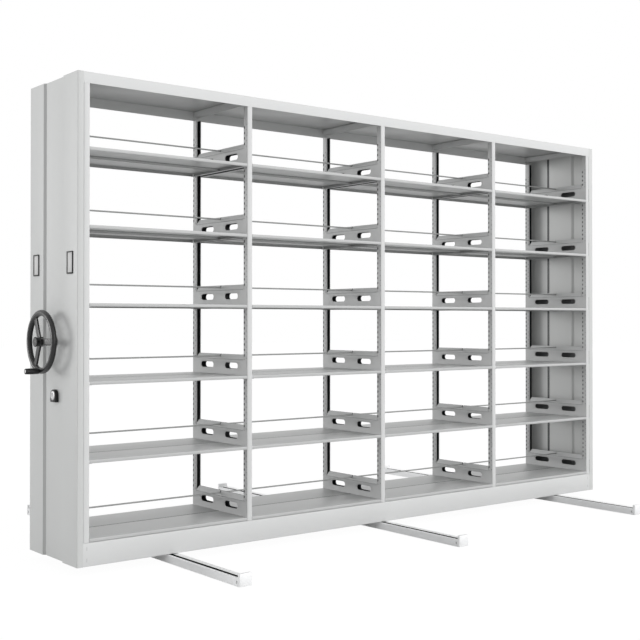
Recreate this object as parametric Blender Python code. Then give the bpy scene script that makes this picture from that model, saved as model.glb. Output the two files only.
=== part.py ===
"""Compact mobile shelving: a four-bay, six-tier steel rack on a wheeled carriage that a handwheel
drives along three floor rails. Metres, +Z up, +X along the rack from the handwheel end, +Y away
from the access side. The origin is on the floor, under the middle of the whole part."""

import math

import bmesh
import bpy
from mathutils import Matrix, Vector

for old in list(bpy.data.objects):
    bpy.data.objects.remove(old, do_unlink=True)


# Sizes that many pieces share
CLEAR = 0.0003                # seating and running clearance between neighbouring pieces
SHEET = 0.0012                # sheet of panels, boards and brackets
HEAVY_SHEET = 0.002           # sheet of uprights and beams
OVERRUN = 0.002               # how far a cutter passes what it cuts
ROUND_STEPS = 20              # facets round a large turned piece
SMALL_STEPS = 12              # facets round a pin, rod or bush

# Rack, measured from its drive end, front plane and the underside of its base beams
BAYS = 4
TIERS = 6
BAY_PITCH = 0.9154            # from upright centre to upright centre
RACK_DEEP = 0.530
RACK_HIGH = 2.294
HOLE_PITCH = 0.028            # slots of the uprights, where the brackets hook in

# Uprights and beams
UPRIGHT_WIDE = 0.031
UPRIGHT_DEEP = 0.036
UPRIGHT_LIP = 0.008
BASE_BEAM_TALL = 0.1095
BASE_BEAM_FLANGE = 0.040
TOP_BEAM_TALL = 0.053
TOP_BEAM_FLANGE = 0.025
TIE_TALL = 0.031
SPIGOT_LONG = 0.040           # tie's end post, down inside the upright
WELD = 0.0005                 # how far welded shapes run into each other
CROSS_MEMBER_WIDE = 0.050

# Shelf boards, brackets and back-stop rods
BOARD_TALL = 0.016
BOARD_SETBACK = 0.0005
SEAM_HALF = 0.0006            # groove between the front and the back board
SEAM_DEEP = 0.003
BRACKET_SETBACK = 0.005
BRACKET_LEDGE = 0.015
BEND_ABOVE_SHELF = 0.080      # where the bracket's top band bends off
BAND_TALL = 0.026
BAND_LEAN_GAP = 0.002         # between the band and the middle of its frame
BAND_END_CUT = 0.010
SLOT_LONG = 0.125
SLOT_TALL = 0.035
SLOT_ABOVE_SHELF = 0.0465
SLOT_OFF_MIDDLE = 0.116
SLOT_END_STEPS = 2
ROD_RADIUS = 0.004
ROD_ABOVE_SHELF = 0.095
ROD_END_GAP = 0.001           # between the rod's end and the middle of its frame
ROD_STEPS = 8

# End panels, folded in plan into two raised bands and a middle recess
DRIVE_PANEL_DEEP = 0.0305
FAR_PANEL_DEEP = 0.0385
PANEL_BAND = 0.155
PANEL_BEVEL = 0.014
PANEL_RECESS = 0.0105
PANEL_EDGE = 0.003

# Rails, and how the rack stands on them
RAIL_HIGH = 0.037
RAIL_WIDE = 0.066
GROOVE_WIDE = 0.013
GROOVE_DEEP = 0.014
GROOVE_FROM_EDGE = 0.025      # rail's near side to the middle of its groove
RAIL_UNDER_RACK = 0.004       # rail top to base beam
TRACK_LONG = 2.300
TRACK_AHEAD = 0.620           # how far the rails reach out in front of the rack as shown
STOP_THICK = 0.015
STOP_HIGH = 0.059
groove_place_shares = (0.1342, 0.5, 0.8998)   # along the rack's length

# Running gear
WHEEL_RADIUS = 0.050
TREAD_WIDE = 0.028
WHEEL_FLANGE_WIDE = 0.009
WHEEL_FLANGE_RADIUS = 0.057
WHEEL_HUB_WIDE = 0.010
WHEEL_HUB_RADIUS = 0.020
AXLE_RADIUS = 0.010
AXLE_INSET = 0.110            # from the rack's front and back
CARRIER_THICK = 0.006
CARRIER_GAP = 0.012           # wheel to carrier plate
BUSH_RADIUS = 0.016
BUSH_LONG = 0.014
AXLE_END_PAST_BUSH = 0.006
MEMBER_ABOVE_AXLE = 0.012     # cross member's lower edge over the axle

# Chain drive inside the drive-end panel
WHEEL_TEETH = 20
SHAFT_TEETH = 12
CHAIN_PITCH = 0.0127
CHAIN_HALF_TALL = 0.004
CHAIN_WIDE = 0.006
CHAIN_FROM_PANEL = 0.0075     # recess sheet to chain
TOOTH_TALL = 0.0025
SPROCKET_WIDE = 0.004
BELT_STEPS = 9

# Handwheel
HANDWHEEL_HIGH = 1.037        # its axis above the base beam
HANDWHEEL_RADIUS = 0.154
RIM_HALF_WIDE = 0.0135        # along the axis
RIM_HALF_TALL = 0.015         # across the rim
RIM_STAND_OFF = 0.0675        # recess sheet to rim middle
RIM_STEPS = 32
RIM_FACETS = 8
HUB_RADIUS = 0.026
HUB_FRONT = 0.035             # hub face beyond the rim middle
HUB_LONG = 0.040
HUB_CHAMFER = 0.005
SPOKES = 3
SPOKE_WIDE_HUB = 0.036
SPOKE_WIDE_RIM = 0.031
SPOKE_THICK = 0.010
SPOKE_ROOT_BACK = 0.018       # spoke's root behind the hub's face
SPOKE_SINK = 0.004            # how far a spoke runs into hub and rim
SPOKE_STEPS = 4
SHAFT_RADIUS = 0.010
SHAFT_IN_HUB = 0.022
SHAFT_PAST_SPROCKET = 0.005
FLANGE_RADIUS = 0.030
FLANGE_THICK = 0.006
BOSS_RADIUS = 0.016
BOSS_PAST_SHEET = 0.004
BOSS_OUT_LONG = 0.010

# Crank grip on the rim
GRIP_RADIUS = 0.0145
GRIP_LONG = 0.0685
GRIP_EDGE = 0.003
SPINDLE_RADIUS = 0.004
SPINDLE_SINK = 0.008
SPINDLE_HEAD_RADIUS = 0.0075
SPINDLE_HEAD_LONG = 0.003

# Lock
LOCK_HIGH = 0.780
LOCK_OFF_MIDDLE = 0.015
LOCK_WIDE = 0.058
LOCK_BELOW = 0.031            # housing below the cylinder's axis
LOCK_THICK = 0.017
LOCK_DISC_RADIUS = 0.0225
LOCK_DISC_THICK = 0.003
LOCK_SHANK_RADIUS = 0.010
LOCK_CAM_LONG = 0.034
LOCK_CAM_WIDE = 0.016
LOCK_CAM_THICK = 0.002
LOCK_CAM_GAP = 0.001
CAP_SINK = 0.0005             # end panel's top flange under its edge

# Label holders
LABEL_HIGH = 1.409
LABEL_FROM_EDGE = 0.077
LABEL_WIDE = 0.062
LABEL_TALL = 0.105
LABEL_THICK = 0.004
LABEL_BACK = 0.0012
LABEL_LIP = 0.006
CARD_THICK = 0.0008

# Places that follow from the sizes
FIRST_FRAME = DRIVE_PANEL_DEEP + UPRIGHT_WIDE / 2
RACK_LONG = DRIVE_PANEL_DEEP + BAYS * BAY_PITCH + UPRIGHT_WIDE + FAR_PANEL_DEEP
FIRST_SHELF = BASE_BEAM_TALL + SHEET + 2 * CLEAR + BOARD_TALL
HOLES_PER_TIER = round((RACK_HIGH - FIRST_SHELF) / TIERS / HOLE_PITCH)
TIER_PITCH = HOLE_PITCH * HOLES_PER_TIER
MIDDLE_Y = RACK_DEEP / 2
RAIL_TOP = -RAIL_UNDER_RACK
FLOOR = RAIL_TOP - RAIL_HIGH
TRACK_FRONT = -TRACK_AHEAD
TRACK_BACK = TRACK_FRONT + TRACK_LONG
AXLE_Z = RAIL_TOP + CLEAR + WHEEL_RADIUS
IDLER_Y = AXLE_INSET
DRIVE_Y = RACK_DEEP - AXLE_INSET
TOP_BEAM_Z = RACK_HIGH - TOP_BEAM_TALL
UPRIGHT_BOTTOM = BASE_BEAM_TALL + CLEAR
RECESS_OUT = PANEL_RECESS                        # outer face of the recess sheet
RECESS_IN = PANEL_RECESS + SHEET
RIM_X = RECESS_OUT - RIM_STAND_OFF
RIM_CENTRE_RADIUS = HANDWHEEL_RADIUS - RIM_HALF_TALL
HUB_FACE_X = RIM_X - HUB_FRONT
CHAIN_X = RECESS_IN + CHAIN_FROM_PANEL
GRIP_END_X = RIM_X - RIM_HALF_WIDE - CLEAR - GRIP_LONG
LOCK_Y = MIDDLE_Y - LOCK_OFF_MIDDLE
PART_MIDDLE_X = (GRIP_END_X + RACK_LONG) / 2
PART_MIDDLE_Y = (TRACK_FRONT + TRACK_BACK) / 2


def frame_x(index):
    """Middle of one upright frame along the rack."""
    return FIRST_FRAME + index * BAY_PITCH


def shelf_z(tier):
    """Top face of the shelf boards of one tier."""
    return FIRST_SHELF + tier * TIER_PITCH


def groove_xs():
    """Middle of each rail's groove along the rack."""
    return [share * RACK_LONG for share in groove_place_shares]


# Materials, by what each piece is made of
FINISHES = {
    "front_grey": ((0.68, 0.69, 0.68), 0.45, 0.0),
    "panel_grey": ((0.52, 0.535, 0.52), 0.45, 0.0),
    "shelf_grey": ((0.52, 0.53, 0.52), 0.45, 0.0),
    "rail_white": ((0.80, 0.80, 0.79), 0.40, 0.0),
    "groove_steel": ((0.30, 0.30, 0.31), 0.35, 1.0),
    "bright_steel": ((0.62, 0.62, 0.63), 0.25, 1.0),
    "black_plastic": ((0.035, 0.035, 0.037), 0.38, 0.0),
    "card_white": ((0.86, 0.86, 0.84), 0.60, 0.0),
}


def material(name):
    """One Principled material from the finish table, made once."""
    made = bpy.data.materials.get(name)
    if made is None:
        colour, roughness, metallic = FINISHES[name]
        made = bpy.data.materials.new(name)
        made.use_nodes = True
        shader = made.node_tree.nodes["Principled BSDF"]
        shader.inputs["Base Color"].default_value = (*colour, 1.0)
        shader.inputs["Roughness"].default_value = roughness
        shader.inputs["Metallic"].default_value = metallic
    return made


def empty(name, place, parent=None):
    """An axis or datum that pieces hang on."""
    made = bpy.data.objects.new(name, None)
    bpy.context.collection.objects.link(made)
    made.parent = parent
    made.location = place
    return made


def piece(name, bm, parent, finish, rounded=False):
    """Turn a finished bmesh into one named object under its carrier."""
    bmesh.ops.recalc_face_normals(bm, faces=bm.faces)
    mesh = bpy.data.meshes.new(name)
    bm.to_mesh(mesh)
    bm.free()
    if rounded:
        mesh.shade_smooth()
        mesh.set_sharp_from_angle(angle=math.radians(35))
    made = bpy.data.objects.new(name, mesh)
    bpy.context.collection.objects.link(made)
    made.parent = parent
    mesh.materials.append(material(finish))
    return made


def fold(path, thickness):
    """Outline of a sheet that follows a path, thickened to the path's left with mitred bends."""
    inner = []
    for i, (u, v) in enumerate(path):
        sides = []
        for a, b in ((i - 1, i), (i, i + 1)):
            if 0 <= a and b < len(path):
                along = Vector(path[b]) - Vector(path[a])
                along.normalize()
                sides.append(Vector((-along.y, along.x)))
        mean = sum(sides, Vector((0, 0))) / len(sides)
        step = mean * (thickness / mean.length_squared)
        inner.append((u + step.x, v + step.y))
    return list(path) + inner[::-1]


TURN = {
    "X": lambda u, v, w: (w, u, v),
    "Y": lambda u, v, w: (u, w, v),
    "Z": lambda u, v, w: (u, v, w),
}


def prism(bm, outline, axis, start, end):
    """A closed bar of one outline, extruded along an axis."""
    turn = TURN[axis]
    face = bm.faces.new([bm.verts.new(turn(u, v, start)) for u, v in outline])
    grown = bmesh.ops.extrude_face_region(bm, geom=[face])["geom"]
    moved = [part for part in grown if isinstance(part, bmesh.types.BMVert)]
    bmesh.ops.translate(bm, verts=moved, vec=Vector(turn(0, 0, end - start)))


def box(bm, low, high):
    """A block between two corners."""
    (x0, y0, z0), (x1, y1, z1) = low, high
    prism(bm, [(x0, y0), (x1, y0), (x1, y1), (x0, y1)], "Z", z0, z1)


def tube(bm, outer, inner, axis, start, end):
    """A ring-shaped bar between two outlines with as many points each."""
    turn = TURN[axis]
    loops = []
    for outline, w in ((outer, start), (outer, end), (inner, end), (inner, start)):
        loops.append([bm.verts.new(turn(u, v, w)) for u, v in outline])
    count = len(outer)
    for first, second in zip(loops, loops[1:] + loops[:1]):
        for i in range(count):
            j = (i + 1) % count
            bm.faces.new((first[i], first[j], second[j], second[i]))


def circle(radius, steps, centre=(0.0, 0.0), turn=0.0):
    """Points round a circle."""
    u, v = centre
    angles = [turn + math.tau * i / steps for i in range(steps)]
    return [(u + radius * math.cos(a), v + radius * math.sin(a)) for a in angles]


def turned(bm, profile, centre, steps):
    """A piece turned about an axis along X; the profile holds (x, radius) points."""
    y, z = centre
    points = [bm.verts.new((x, y, z + radius)) for x, radius in profile]
    edges = [bm.edges.new(pair) for pair in zip(points, points[1:])]
    if profile[0][1] > 0:
        edges.append(bm.edges.new((points[-1], points[0])))
    bmesh.ops.spin(bm, geom=points + edges, cent=(0, y, z), axis=(1, 0, 0), angle=math.tau,
                   steps=steps, use_merge=True)
    bmesh.ops.remove_doubles(bm, verts=bm.verts, dist=CLEAR / 10)


def rod(bm, centre, radius, start, end, steps):
    """A plain round bar along X."""
    prism(bm, circle(radius, steps, centre), "X", start, end)


def bored(radius, steps):
    """Radius of a faceted bore whose flats clear a shaft."""
    return (radius + CLEAR) / math.cos(math.pi / steps)


def cut(target, name, bm, parent, operation="DIFFERENCE"):
    """Cut one object by another that stays hidden, or join the two."""
    cutter = piece(name, bm, parent, "black_plastic")
    cutter.hide_render = True
    cutter.display_type = "WIRE"
    modifier = target.modifiers.new(name, "BOOLEAN")
    modifier.operation = operation
    modifier.solver = "EXACT"
    modifier.object = cutter


def welded(name, shapes, parent, finish, rounded=False):
    """One piece from shapes that run into each other."""
    made = piece(name, shapes[0], parent, finish, rounded)
    for number, shape in enumerate(shapes[1:], start=1):
        cut(made, f"{name}_form_{number}", shape, parent, "UNION")
    return made


def mirrored_y(path):
    """The same path seen from the rack's back."""
    return [(u, RACK_DEEP - v) for u, v in path]


# The datum of the fixed track, the sliding carriage and each axis
track = empty("track_datum", (-PART_MIDDLE_X, -PART_MIDDLE_Y, -FLOOR))
carriage = empty("carriage_datum", (0, 0, 0), track)
drive_axis = empty("drive_axle_axis", (0, DRIVE_Y, AXLE_Z), carriage)
idler_axis = empty("idler_axle_axis", (0, IDLER_Y, AXLE_Z), carriage)
handwheel_axis = empty("handwheel_axis", (0, MIDDLE_Y, HANDWHEEL_HIGH), carriage)
grip_axis = empty("crank_grip_axis", (0, 0, -RIM_CENTRE_RADIUS), handwheel_axis)
lock_axis = empty("lock_axis", (0, LOCK_Y, LOCK_HIGH), carriage)


def make_rails():
    """Three floor rails, each a grooved bar with a block welded on at both ends."""
    for number, groove in enumerate(groove_xs(), start=1):
        near = groove - GROOVE_FROM_EDGE
        far = near + RAIL_WIDE
        left, right = groove - GROOVE_WIDE / 2, groove + GROOVE_WIDE / 2
        outline = [(near, FLOOR), (far, FLOOR), (far, RAIL_TOP), (right, RAIL_TOP),
                   (right, RAIL_TOP - GROOVE_DEEP), (left, RAIL_TOP - GROOVE_DEEP),
                   (left, RAIL_TOP), (near, RAIL_TOP)]
        bar, stops = bmesh.new(), bmesh.new()
        prism(bar, outline, "Y", TRACK_FRONT + STOP_THICK - WELD, TRACK_BACK - STOP_THICK + WELD)
        for start in (TRACK_FRONT, TRACK_BACK - STOP_THICK):
            box(stops, (near, start, FLOOR), (far, start + STOP_THICK, FLOOR + STOP_HIGH))
        welded(f"rail_{number}", [bar, stops], track, "rail_white")


def beam_path(flange, low, high):
    """The channel of a front beam, open to the back."""
    return [(flange, low), (0, low), (0, high), (flange, high)]


def make_top_beams():
    """Fascia beams over the uprights at front and back."""
    path = [(0, TOP_BEAM_Z), (0, RACK_HIGH), (TOP_BEAM_FLANGE, RACK_HIGH)]
    front = fold(path, -HEAVY_SHEET)
    for side, outline in (("front", front), ("back", [(RACK_DEEP - y, z) for y, z in front])):
        bm = bmesh.new()
        prism(bm, outline, "X", DRIVE_PANEL_DEEP, RACK_LONG - FAR_PANEL_DEEP)
        piece(f"top_beam_{side}", bm, carriage, "front_grey")


def make_chassis():
    """The welded base: two beams, cross members, and carrier plates bored for the axles."""
    start, end = DRIVE_PANEL_DEEP, RACK_LONG - FAR_PANEL_DEEP
    sunk = HEAVY_SHEET - WELD
    top = BASE_BEAM_TALL - sunk
    beams, members, plates, bosses, bores = [bmesh.new() for _ in range(5)]
    front = fold(beam_path(BASE_BEAM_FLANGE, 0, BASE_BEAM_TALL), -HEAVY_SHEET)
    for outline in (front, [(RACK_DEEP - y, z) for y, z in front]):
        prism(beams, outline, "X", start, end)
    grooves, half = groove_xs(), CROSS_MEMBER_WIDE / 2
    places = [start + half] + [(a + b) / 2 for a, b in zip(grooves, grooves[1:])] + [end - half]
    low = AXLE_Z + AXLE_RADIUS + MEMBER_ABOVE_AXLE
    for x in places:
        path = [(x - half, low), (x - half, top), (x + half, top), (x + half, low)]
        prism(members, fold(path, -HEAVY_SHEET), "Y", sunk, RACK_DEEP - sunk)
    for near in carrier_starts():
        far = near + CARRIER_THICK
        middle = (near + far) / 2
        box(plates, (near, sunk, sunk), (far, RACK_DEEP - sunk, top))
        for y in (IDLER_Y, DRIVE_Y):
            rod(bosses, (y, AXLE_Z), BUSH_RADIUS, middle - BUSH_LONG / 2, middle + BUSH_LONG / 2,
                SMALL_STEPS)
            rod(bores, (y, AXLE_Z), bored(AXLE_RADIUS, SMALL_STEPS),
                middle - BUSH_LONG / 2 - OVERRUN, middle + BUSH_LONG / 2 + OVERRUN, SMALL_STEPS)
    chassis = welded("chassis", [beams, members, plates, bosses], carriage, "front_grey")
    cut(chassis, "chassis_bores", bores, carriage)


def upright_path(x):
    """Plan of a front upright: a channel with inward lips, open to the back."""
    near, far = x - UPRIGHT_WIDE / 2, x + UPRIGHT_WIDE / 2
    return [(near + UPRIGHT_LIP, UPRIGHT_DEEP), (near, UPRIGHT_DEEP), (near, 0), (far, 0),
            (far, UPRIGHT_DEEP), (far - UPRIGHT_LIP, UPRIGHT_DEEP)]


def ceiling_bottom():
    """Underside of the ceiling sheet."""
    return RACK_HIGH - HEAVY_SHEET - CLEAR - SHEET


def make_side_frames():
    """Front and back upright, the tie over them, and the brackets hooked on to both sides."""
    inside = HEAVY_SHEET + CLEAR
    half = UPRIGHT_WIDE / 2 - HEAVY_SHEET + WELD
    tie_top = ceiling_bottom() - CLEAR
    tie_low = tie_top - TIE_TALL
    for index in range(BAYS + 1):
        x = frame_x(index)
        uprights, spigots, tie = [bmesh.new() for _ in range(3)]
        outline = fold(upright_path(x), HEAVY_SHEET)
        for plan in (outline, mirrored_y(outline)):
            prism(uprights, plan, "Z", UPRIGHT_BOTTOM, TOP_BEAM_Z - CLEAR)
        for y in (inside, RACK_DEEP - UPRIGHT_DEEP + WELD):
            box(spigots, (x - half, y, TOP_BEAM_Z - SPIGOT_LONG),
                (x + half, y + UPRIGHT_DEEP - inside - WELD, tie_top - HEAVY_SHEET / 2))
        path = [(x - half - WELD, tie_low), (x - half - WELD, tie_top), (x + half + WELD, tie_top),
                (x + half + WELD, tie_low)]
        prism(tie, fold(path, -HEAVY_SHEET), "Y", inside - CLEAR / 2, RACK_DEEP - inside + CLEAR / 2)
        name = f"side_frame_{index + 1}"
        made = welded(name, [uprights, spigots, tie], carriage, "front_grey")
        for inward, present in ((-1, index > 0), (1, index < BAYS)):
            if present:
                add_brackets(made, name, index, inward)


def make_ceiling():
    """The flat sheet that closes the rack at the top, under the beams' flanges."""
    inside = HEAVY_SHEET + CLEAR
    bm = bmesh.new()
    box(bm, (DRIVE_PANEL_DEEP, inside, ceiling_bottom()),
        (RACK_LONG - FAR_PANEL_DEEP, RACK_DEEP - inside, ceiling_bottom() + SHEET))
    piece("ceiling_sheet", bm, carriage, "shelf_grey")


def bay_room(bay):
    """Free width between the bracket faces of one bay."""
    side = bracket_face()
    return frame_x(bay) + side, frame_x(bay + 1) - side


def bracket_face():
    """Bracket's bay-side face, from the middle of its frame."""
    return UPRIGHT_WIDE / 2 + SHEET - WELD


def make_boards():
    """A front and a back board to each tier of each bay, meeting in a seam at mid-depth."""
    for tier in range(TIERS):
        top = shelf_z(tier)
        low, under = top - BOARD_TALL, top - SHEET
        edge, lip = BOARD_SETBACK, BOARD_SETBACK + SHEET
        seam, web = MIDDLE_Y - SEAM_HALF, MIDDLE_Y - SEAM_HALF - SHEET
        front = [(edge, low), (edge, top), (seam, top), (seam, top - SEAM_DEEP)]
        inner = [(web, low), (web, under), (lip, under), (lip, low)]
        back = [(RACK_DEEP - y, z) for y, z in reversed(front)]
        back_inner = [(RACK_DEEP - y, z) for y, z in reversed(inner)]
        outline = front + back + back_inner + inner
        for bay in range(BAYS):
            start, end = bay_room(bay)
            bm = bmesh.new()
            prism(bm, outline, "X", start + CLEAR, end - CLEAR)
            piece(f"shelf_bay{bay + 1}_tier{tier + 1}", bm, carriage, "shelf_grey")


def slot_points(middle, z):
    """Outline of one oblong slot in the bracket plate."""
    reach = (SLOT_LONG - SLOT_TALL) / 2
    points = []
    for side, first in ((1, -math.pi / 2), (-1, math.pi / 2)):
        for i in range(SLOT_END_STEPS + 1):
            angle = first + math.pi * i / SLOT_END_STEPS
            points.append((middle + side * reach + SLOT_TALL / 2 * math.cos(angle),
                           z + SLOT_TALL / 2 * math.sin(angle)))
    return points


def bracket_surface(bm, face_x, inward, top):
    """The bay-side surface of one bracket: ledge, slotted plate and leaning top band."""
    ledge_z = top - BOARD_TALL - CLEAR
    bend_z = top + BEND_ABOVE_SHELF
    lean = UPRIGHT_WIDE / 2 - BAND_LEAN_GAP
    front, back = BRACKET_SETBACK, RACK_DEEP - BRACKET_SETBACK
    band = UPRIGHT_DEEP + CLEAR + SHEET
    rod_z = top + ROD_ABOVE_SHELF
    notch_z = rod_z - ROD_RADIUS - CLEAR
    notch = ROD_RADIUS + CLEAR

    def put(y, z):
        over = max(0, z - bend_z) / BAND_TALL
        return bm.verts.new((face_x - inward * lean * over, y, z))

    def loop_edges(ring):
        return [bm.edges.get(pair) or bm.edges.new(pair) for pair in zip(ring, ring[1:] + ring[:1])]

    bend = [put(y, bend_z) for y in (band, RACK_DEEP - band)]
    plate = [put(front, ledge_z), put(back, ledge_z), put(back, bend_z), bend[1], bend[0],
             put(front, bend_z)]
    edges = loop_edges(plate)
    for middle in (MIDDLE_Y - SLOT_OFF_MIDDLE, MIDDLE_Y + SLOT_OFF_MIDDLE):
        edges += loop_edges([put(y, z) for y, z in slot_points(middle, top + SLOT_ABOVE_SHELF)])
    bmesh.ops.triangle_fill(bm, edges=edges, use_beauty=True, normal=(inward, 0, 0))

    high = bend_z + BAND_TALL
    upper = [put(RACK_DEEP - band - BAND_END_CUT, high), put(MIDDLE_Y + notch, high),
             put(MIDDLE_Y + notch, notch_z), put(MIDDLE_Y - notch, notch_z),
             put(MIDDLE_Y - notch, high), put(band + BAND_END_CUT, high)]
    bm.faces.new([bend[0], bend[1]] + upper)
    reach = face_x + inward * BRACKET_LEDGE
    shelf = [plate[0], plate[1], bm.verts.new((reach, back, ledge_z)),
             bm.verts.new((reach, front, ledge_z))]
    bm.faces.new(shelf)


def thicken(made, thickness):
    """Give an open sheet its thickness, away from its marked face."""
    modifier = made.modifiers.new("sheet", "SOLIDIFY")
    modifier.thickness = thickness
    modifier.offset = -1.0
    modifier.use_even_offset = True


def add_brackets(frame, name, index, inward):
    """The six brackets on one side of a frame, as one folded sheet form each."""
    bm = bmesh.new()
    for tier in range(TIERS):
        bracket_surface(bm, frame_x(index) + inward * bracket_face(), inward, shelf_z(tier))
    turn_faces_to_bay(bm, frame_x(index))
    mesh = bpy.data.meshes.new(f"{name}_brackets")
    bm.to_mesh(mesh)
    bm.free()
    side = "left" if inward < 0 else "right"
    made = bpy.data.objects.new(f"{name}_brackets_{side}", mesh)
    bpy.context.collection.objects.link(made)
    made.parent = carriage
    made.hide_render = True
    made.display_type = "WIRE"
    thicken(made, SHEET)
    modifier = frame.modifiers.new(f"brackets_{side}", "BOOLEAN")
    modifier.operation = "UNION"
    modifier.solver = "EXACT"
    modifier.object = made


def turn_faces_to_bay(bm, middle):
    """Point every face of the bracket sheets away from their frame, or up on the ledge."""
    bm.normal_update()
    wrong = []
    for face in bm.faces:
        outward = 1 if face.calc_center_median().x > middle else -1
        aim = face.normal.x * outward + face.normal.z
        if aim < 0:
            wrong.append(face)
    bmesh.ops.reverse_faces(bm, faces=wrong)


def make_rods():
    """Back-stop rods at mid-depth, one along each tier, through the notches of the brackets."""
    for tier in range(TIERS):
        bm = bmesh.new()
        rod(bm, (MIDDLE_Y, shelf_z(tier) + ROD_ABOVE_SHELF), ROD_RADIUS,
            frame_x(0) + ROD_END_GAP, frame_x(BAYS) - ROD_END_GAP, ROD_STEPS)
        piece(f"stop_rod_tier_{tier + 1}", bm, carriage, "front_grey", rounded=True)


def panel_path(deep, gap):
    """Plan of an end panel's outer face, from its front return to its back return."""
    second = RACK_DEEP - PANEL_BAND
    return [(deep - gap, 0), (PANEL_EDGE, 0), (0, PANEL_EDGE), (0, PANEL_BAND),
            (PANEL_RECESS, PANEL_BAND + PANEL_BEVEL), (PANEL_RECESS, second - PANEL_BEVEL),
            (0, second), (0, RACK_DEEP - PANEL_EDGE), (PANEL_EDGE, RACK_DEEP),
            (deep - gap, RACK_DEEP)]


def make_end_panels():
    """Folded panels over both ends, each with a flange that closes it at the top."""
    for name, deep in (("end_panel_drive", DRIVE_PANEL_DEEP), ("end_panel_far", FAR_PANEL_DEEP)):
        path = panel_path(deep, CLEAR)
        wall = fold(path, -SHEET)
        flange = fold(path, -SHEET / 2)[len(path):]
        if deep == FAR_PANEL_DEEP:
            wall = [(RACK_LONG - x, y) for x, y in wall]
            flange = [(RACK_LONG - x, y) for x, y in flange]
        walls, top = bmesh.new(), bmesh.new()
        prism(walls, wall, "Z", 0, RACK_HIGH)
        prism(top, flange, "Z", RACK_HIGH - CAP_SINK - SHEET, RACK_HIGH - CAP_SINK)
        panel = welded(name, [walls, top], carriage, "panel_grey")
        if name == "end_panel_drive":
            holes = bmesh.new()
            for centre, radius in (((MIDDLE_Y, HANDWHEEL_HIGH), BOSS_RADIUS + CLEAR),
                                   ((LOCK_Y, LOCK_HIGH), LOCK_SHANK_RADIUS + CLEAR)):
                rod(holes, centre, radius, RECESS_OUT - OVERRUN, RECESS_IN + OVERRUN, ROUND_STEPS)
            cut(panel, "panel_holes", holes, carriage)


def wheel_faces(groove):
    """Near and far end of one wheel along the rack."""
    near = groove - WHEEL_FLANGE_WIDE / 2 - WHEEL_HUB_WIDE
    return near, groove + WHEEL_FLANGE_WIDE / 2 + TREAD_WIDE


def carrier_starts():
    """Near face of every carrier plate: one by the chain drive and two beside each wheel."""
    starts = [DRIVE_PANEL_DEEP + CROSS_MEMBER_WIDE + CLEAR]
    for groove in groove_xs():
        near, far = wheel_faces(groove)
        starts += [near - CARRIER_GAP - CARRIER_THICK, far + CARRIER_GAP]
    return starts


def make_wheelsets():
    """The driven axle behind and the idler axle in front, each turned with its flanged wheels."""
    plates = carrier_starts()
    past = CARRIER_THICK / 2 + BUSH_LONG / 2 + AXLE_END_PAST_BUSH
    for name, axis, start in (("drive_wheelset", drive_axis, CHAIN_X - SHAFT_PAST_SPROCKET),
                              ("idler_wheelset", idler_axis, plates[0] + CARRIER_THICK - past)):
        profile = [(start, 0), (start, AXLE_RADIUS)]
        for groove in groove_xs():
            near, far = wheel_faces(groove)
            left, right = groove - WHEEL_FLANGE_WIDE / 2, groove + WHEEL_FLANGE_WIDE / 2
            profile += [(near, AXLE_RADIUS), (near, WHEEL_HUB_RADIUS), (left, WHEEL_HUB_RADIUS),
                        (left, WHEEL_FLANGE_RADIUS), (right, WHEEL_FLANGE_RADIUS),
                        (right, WHEEL_RADIUS), (far, WHEEL_RADIUS), (far, AXLE_RADIUS)]
        profile += [(plates[-1] + past, AXLE_RADIUS), (plates[-1] + past, 0)]
        bm = bmesh.new()
        turned(bm, profile, (0, 0), ROUND_STEPS)
        piece(name, bm, axis, "groove_steel", rounded=True)


def pitch_radius(teeth):
    """Radius at which a chain of this pitch runs."""
    return CHAIN_PITCH / (2 * math.sin(math.pi / teeth))


def make_sprocket(name, teeth, bore, axis):
    """A toothed disc on its shaft, under the chain."""
    facet = math.cos(math.pi / 2 / (BELT_STEPS - 1))
    tip = (pitch_radius(teeth) - CHAIN_HALF_TALL) * facet - CLEAR
    steps = 2 * teeth
    outer = [(r * math.cos(math.tau * i / steps), r * math.sin(math.tau * i / steps))
             for i, r in enumerate([tip, tip - TOOTH_TALL] * teeth)]
    start = CHAIN_X + (CHAIN_WIDE - SPROCKET_WIDE) / 2
    bm = bmesh.new()
    tube(bm, outer, circle(bore, steps), "X", start, start + SPROCKET_WIDE)
    piece(name, bm, axis, "groove_steel")


def belt(centre_a, radius_a, centre_b, radius_b):
    """Outline of a band round two circles: arcs joined by their outer tangents."""
    a, b = Vector(centre_a), Vector(centre_b)
    along = math.atan2(b.y - a.y, b.x - a.x)
    spread = math.acos((radius_a - radius_b) / (b - a).length)
    points = []
    for centre, radius, first, last in (
            (a, radius_a, along + spread, along + math.tau - spread),
            (b, radius_b, along - spread, along + spread)):
        for i in range(BELT_STEPS + 1):
            angle = first + (last - first) * i / BELT_STEPS
            points.append((centre.x + radius * math.cos(angle), centre.y + radius * math.sin(angle)))
    return points


def make_chain():
    """The closed chain from the handwheel's sprocket down to the one on the driven axle."""
    ends = ((MIDDLE_Y, HANDWHEEL_HIGH), (DRIVE_Y, AXLE_Z))
    radii = (pitch_radius(SHAFT_TEETH), pitch_radius(WHEEL_TEETH))
    outer, inner = [belt(ends[0], radii[0] + side * CHAIN_HALF_TALL, ends[1],
                         radii[1] + side * CHAIN_HALF_TALL) for side in (1, -1)]
    bm = bmesh.new()
    tube(bm, outer, inner, "X", CHAIN_X, CHAIN_X + CHAIN_WIDE)
    piece("drive_chain", bm, carriage, "groove_steel")


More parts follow.
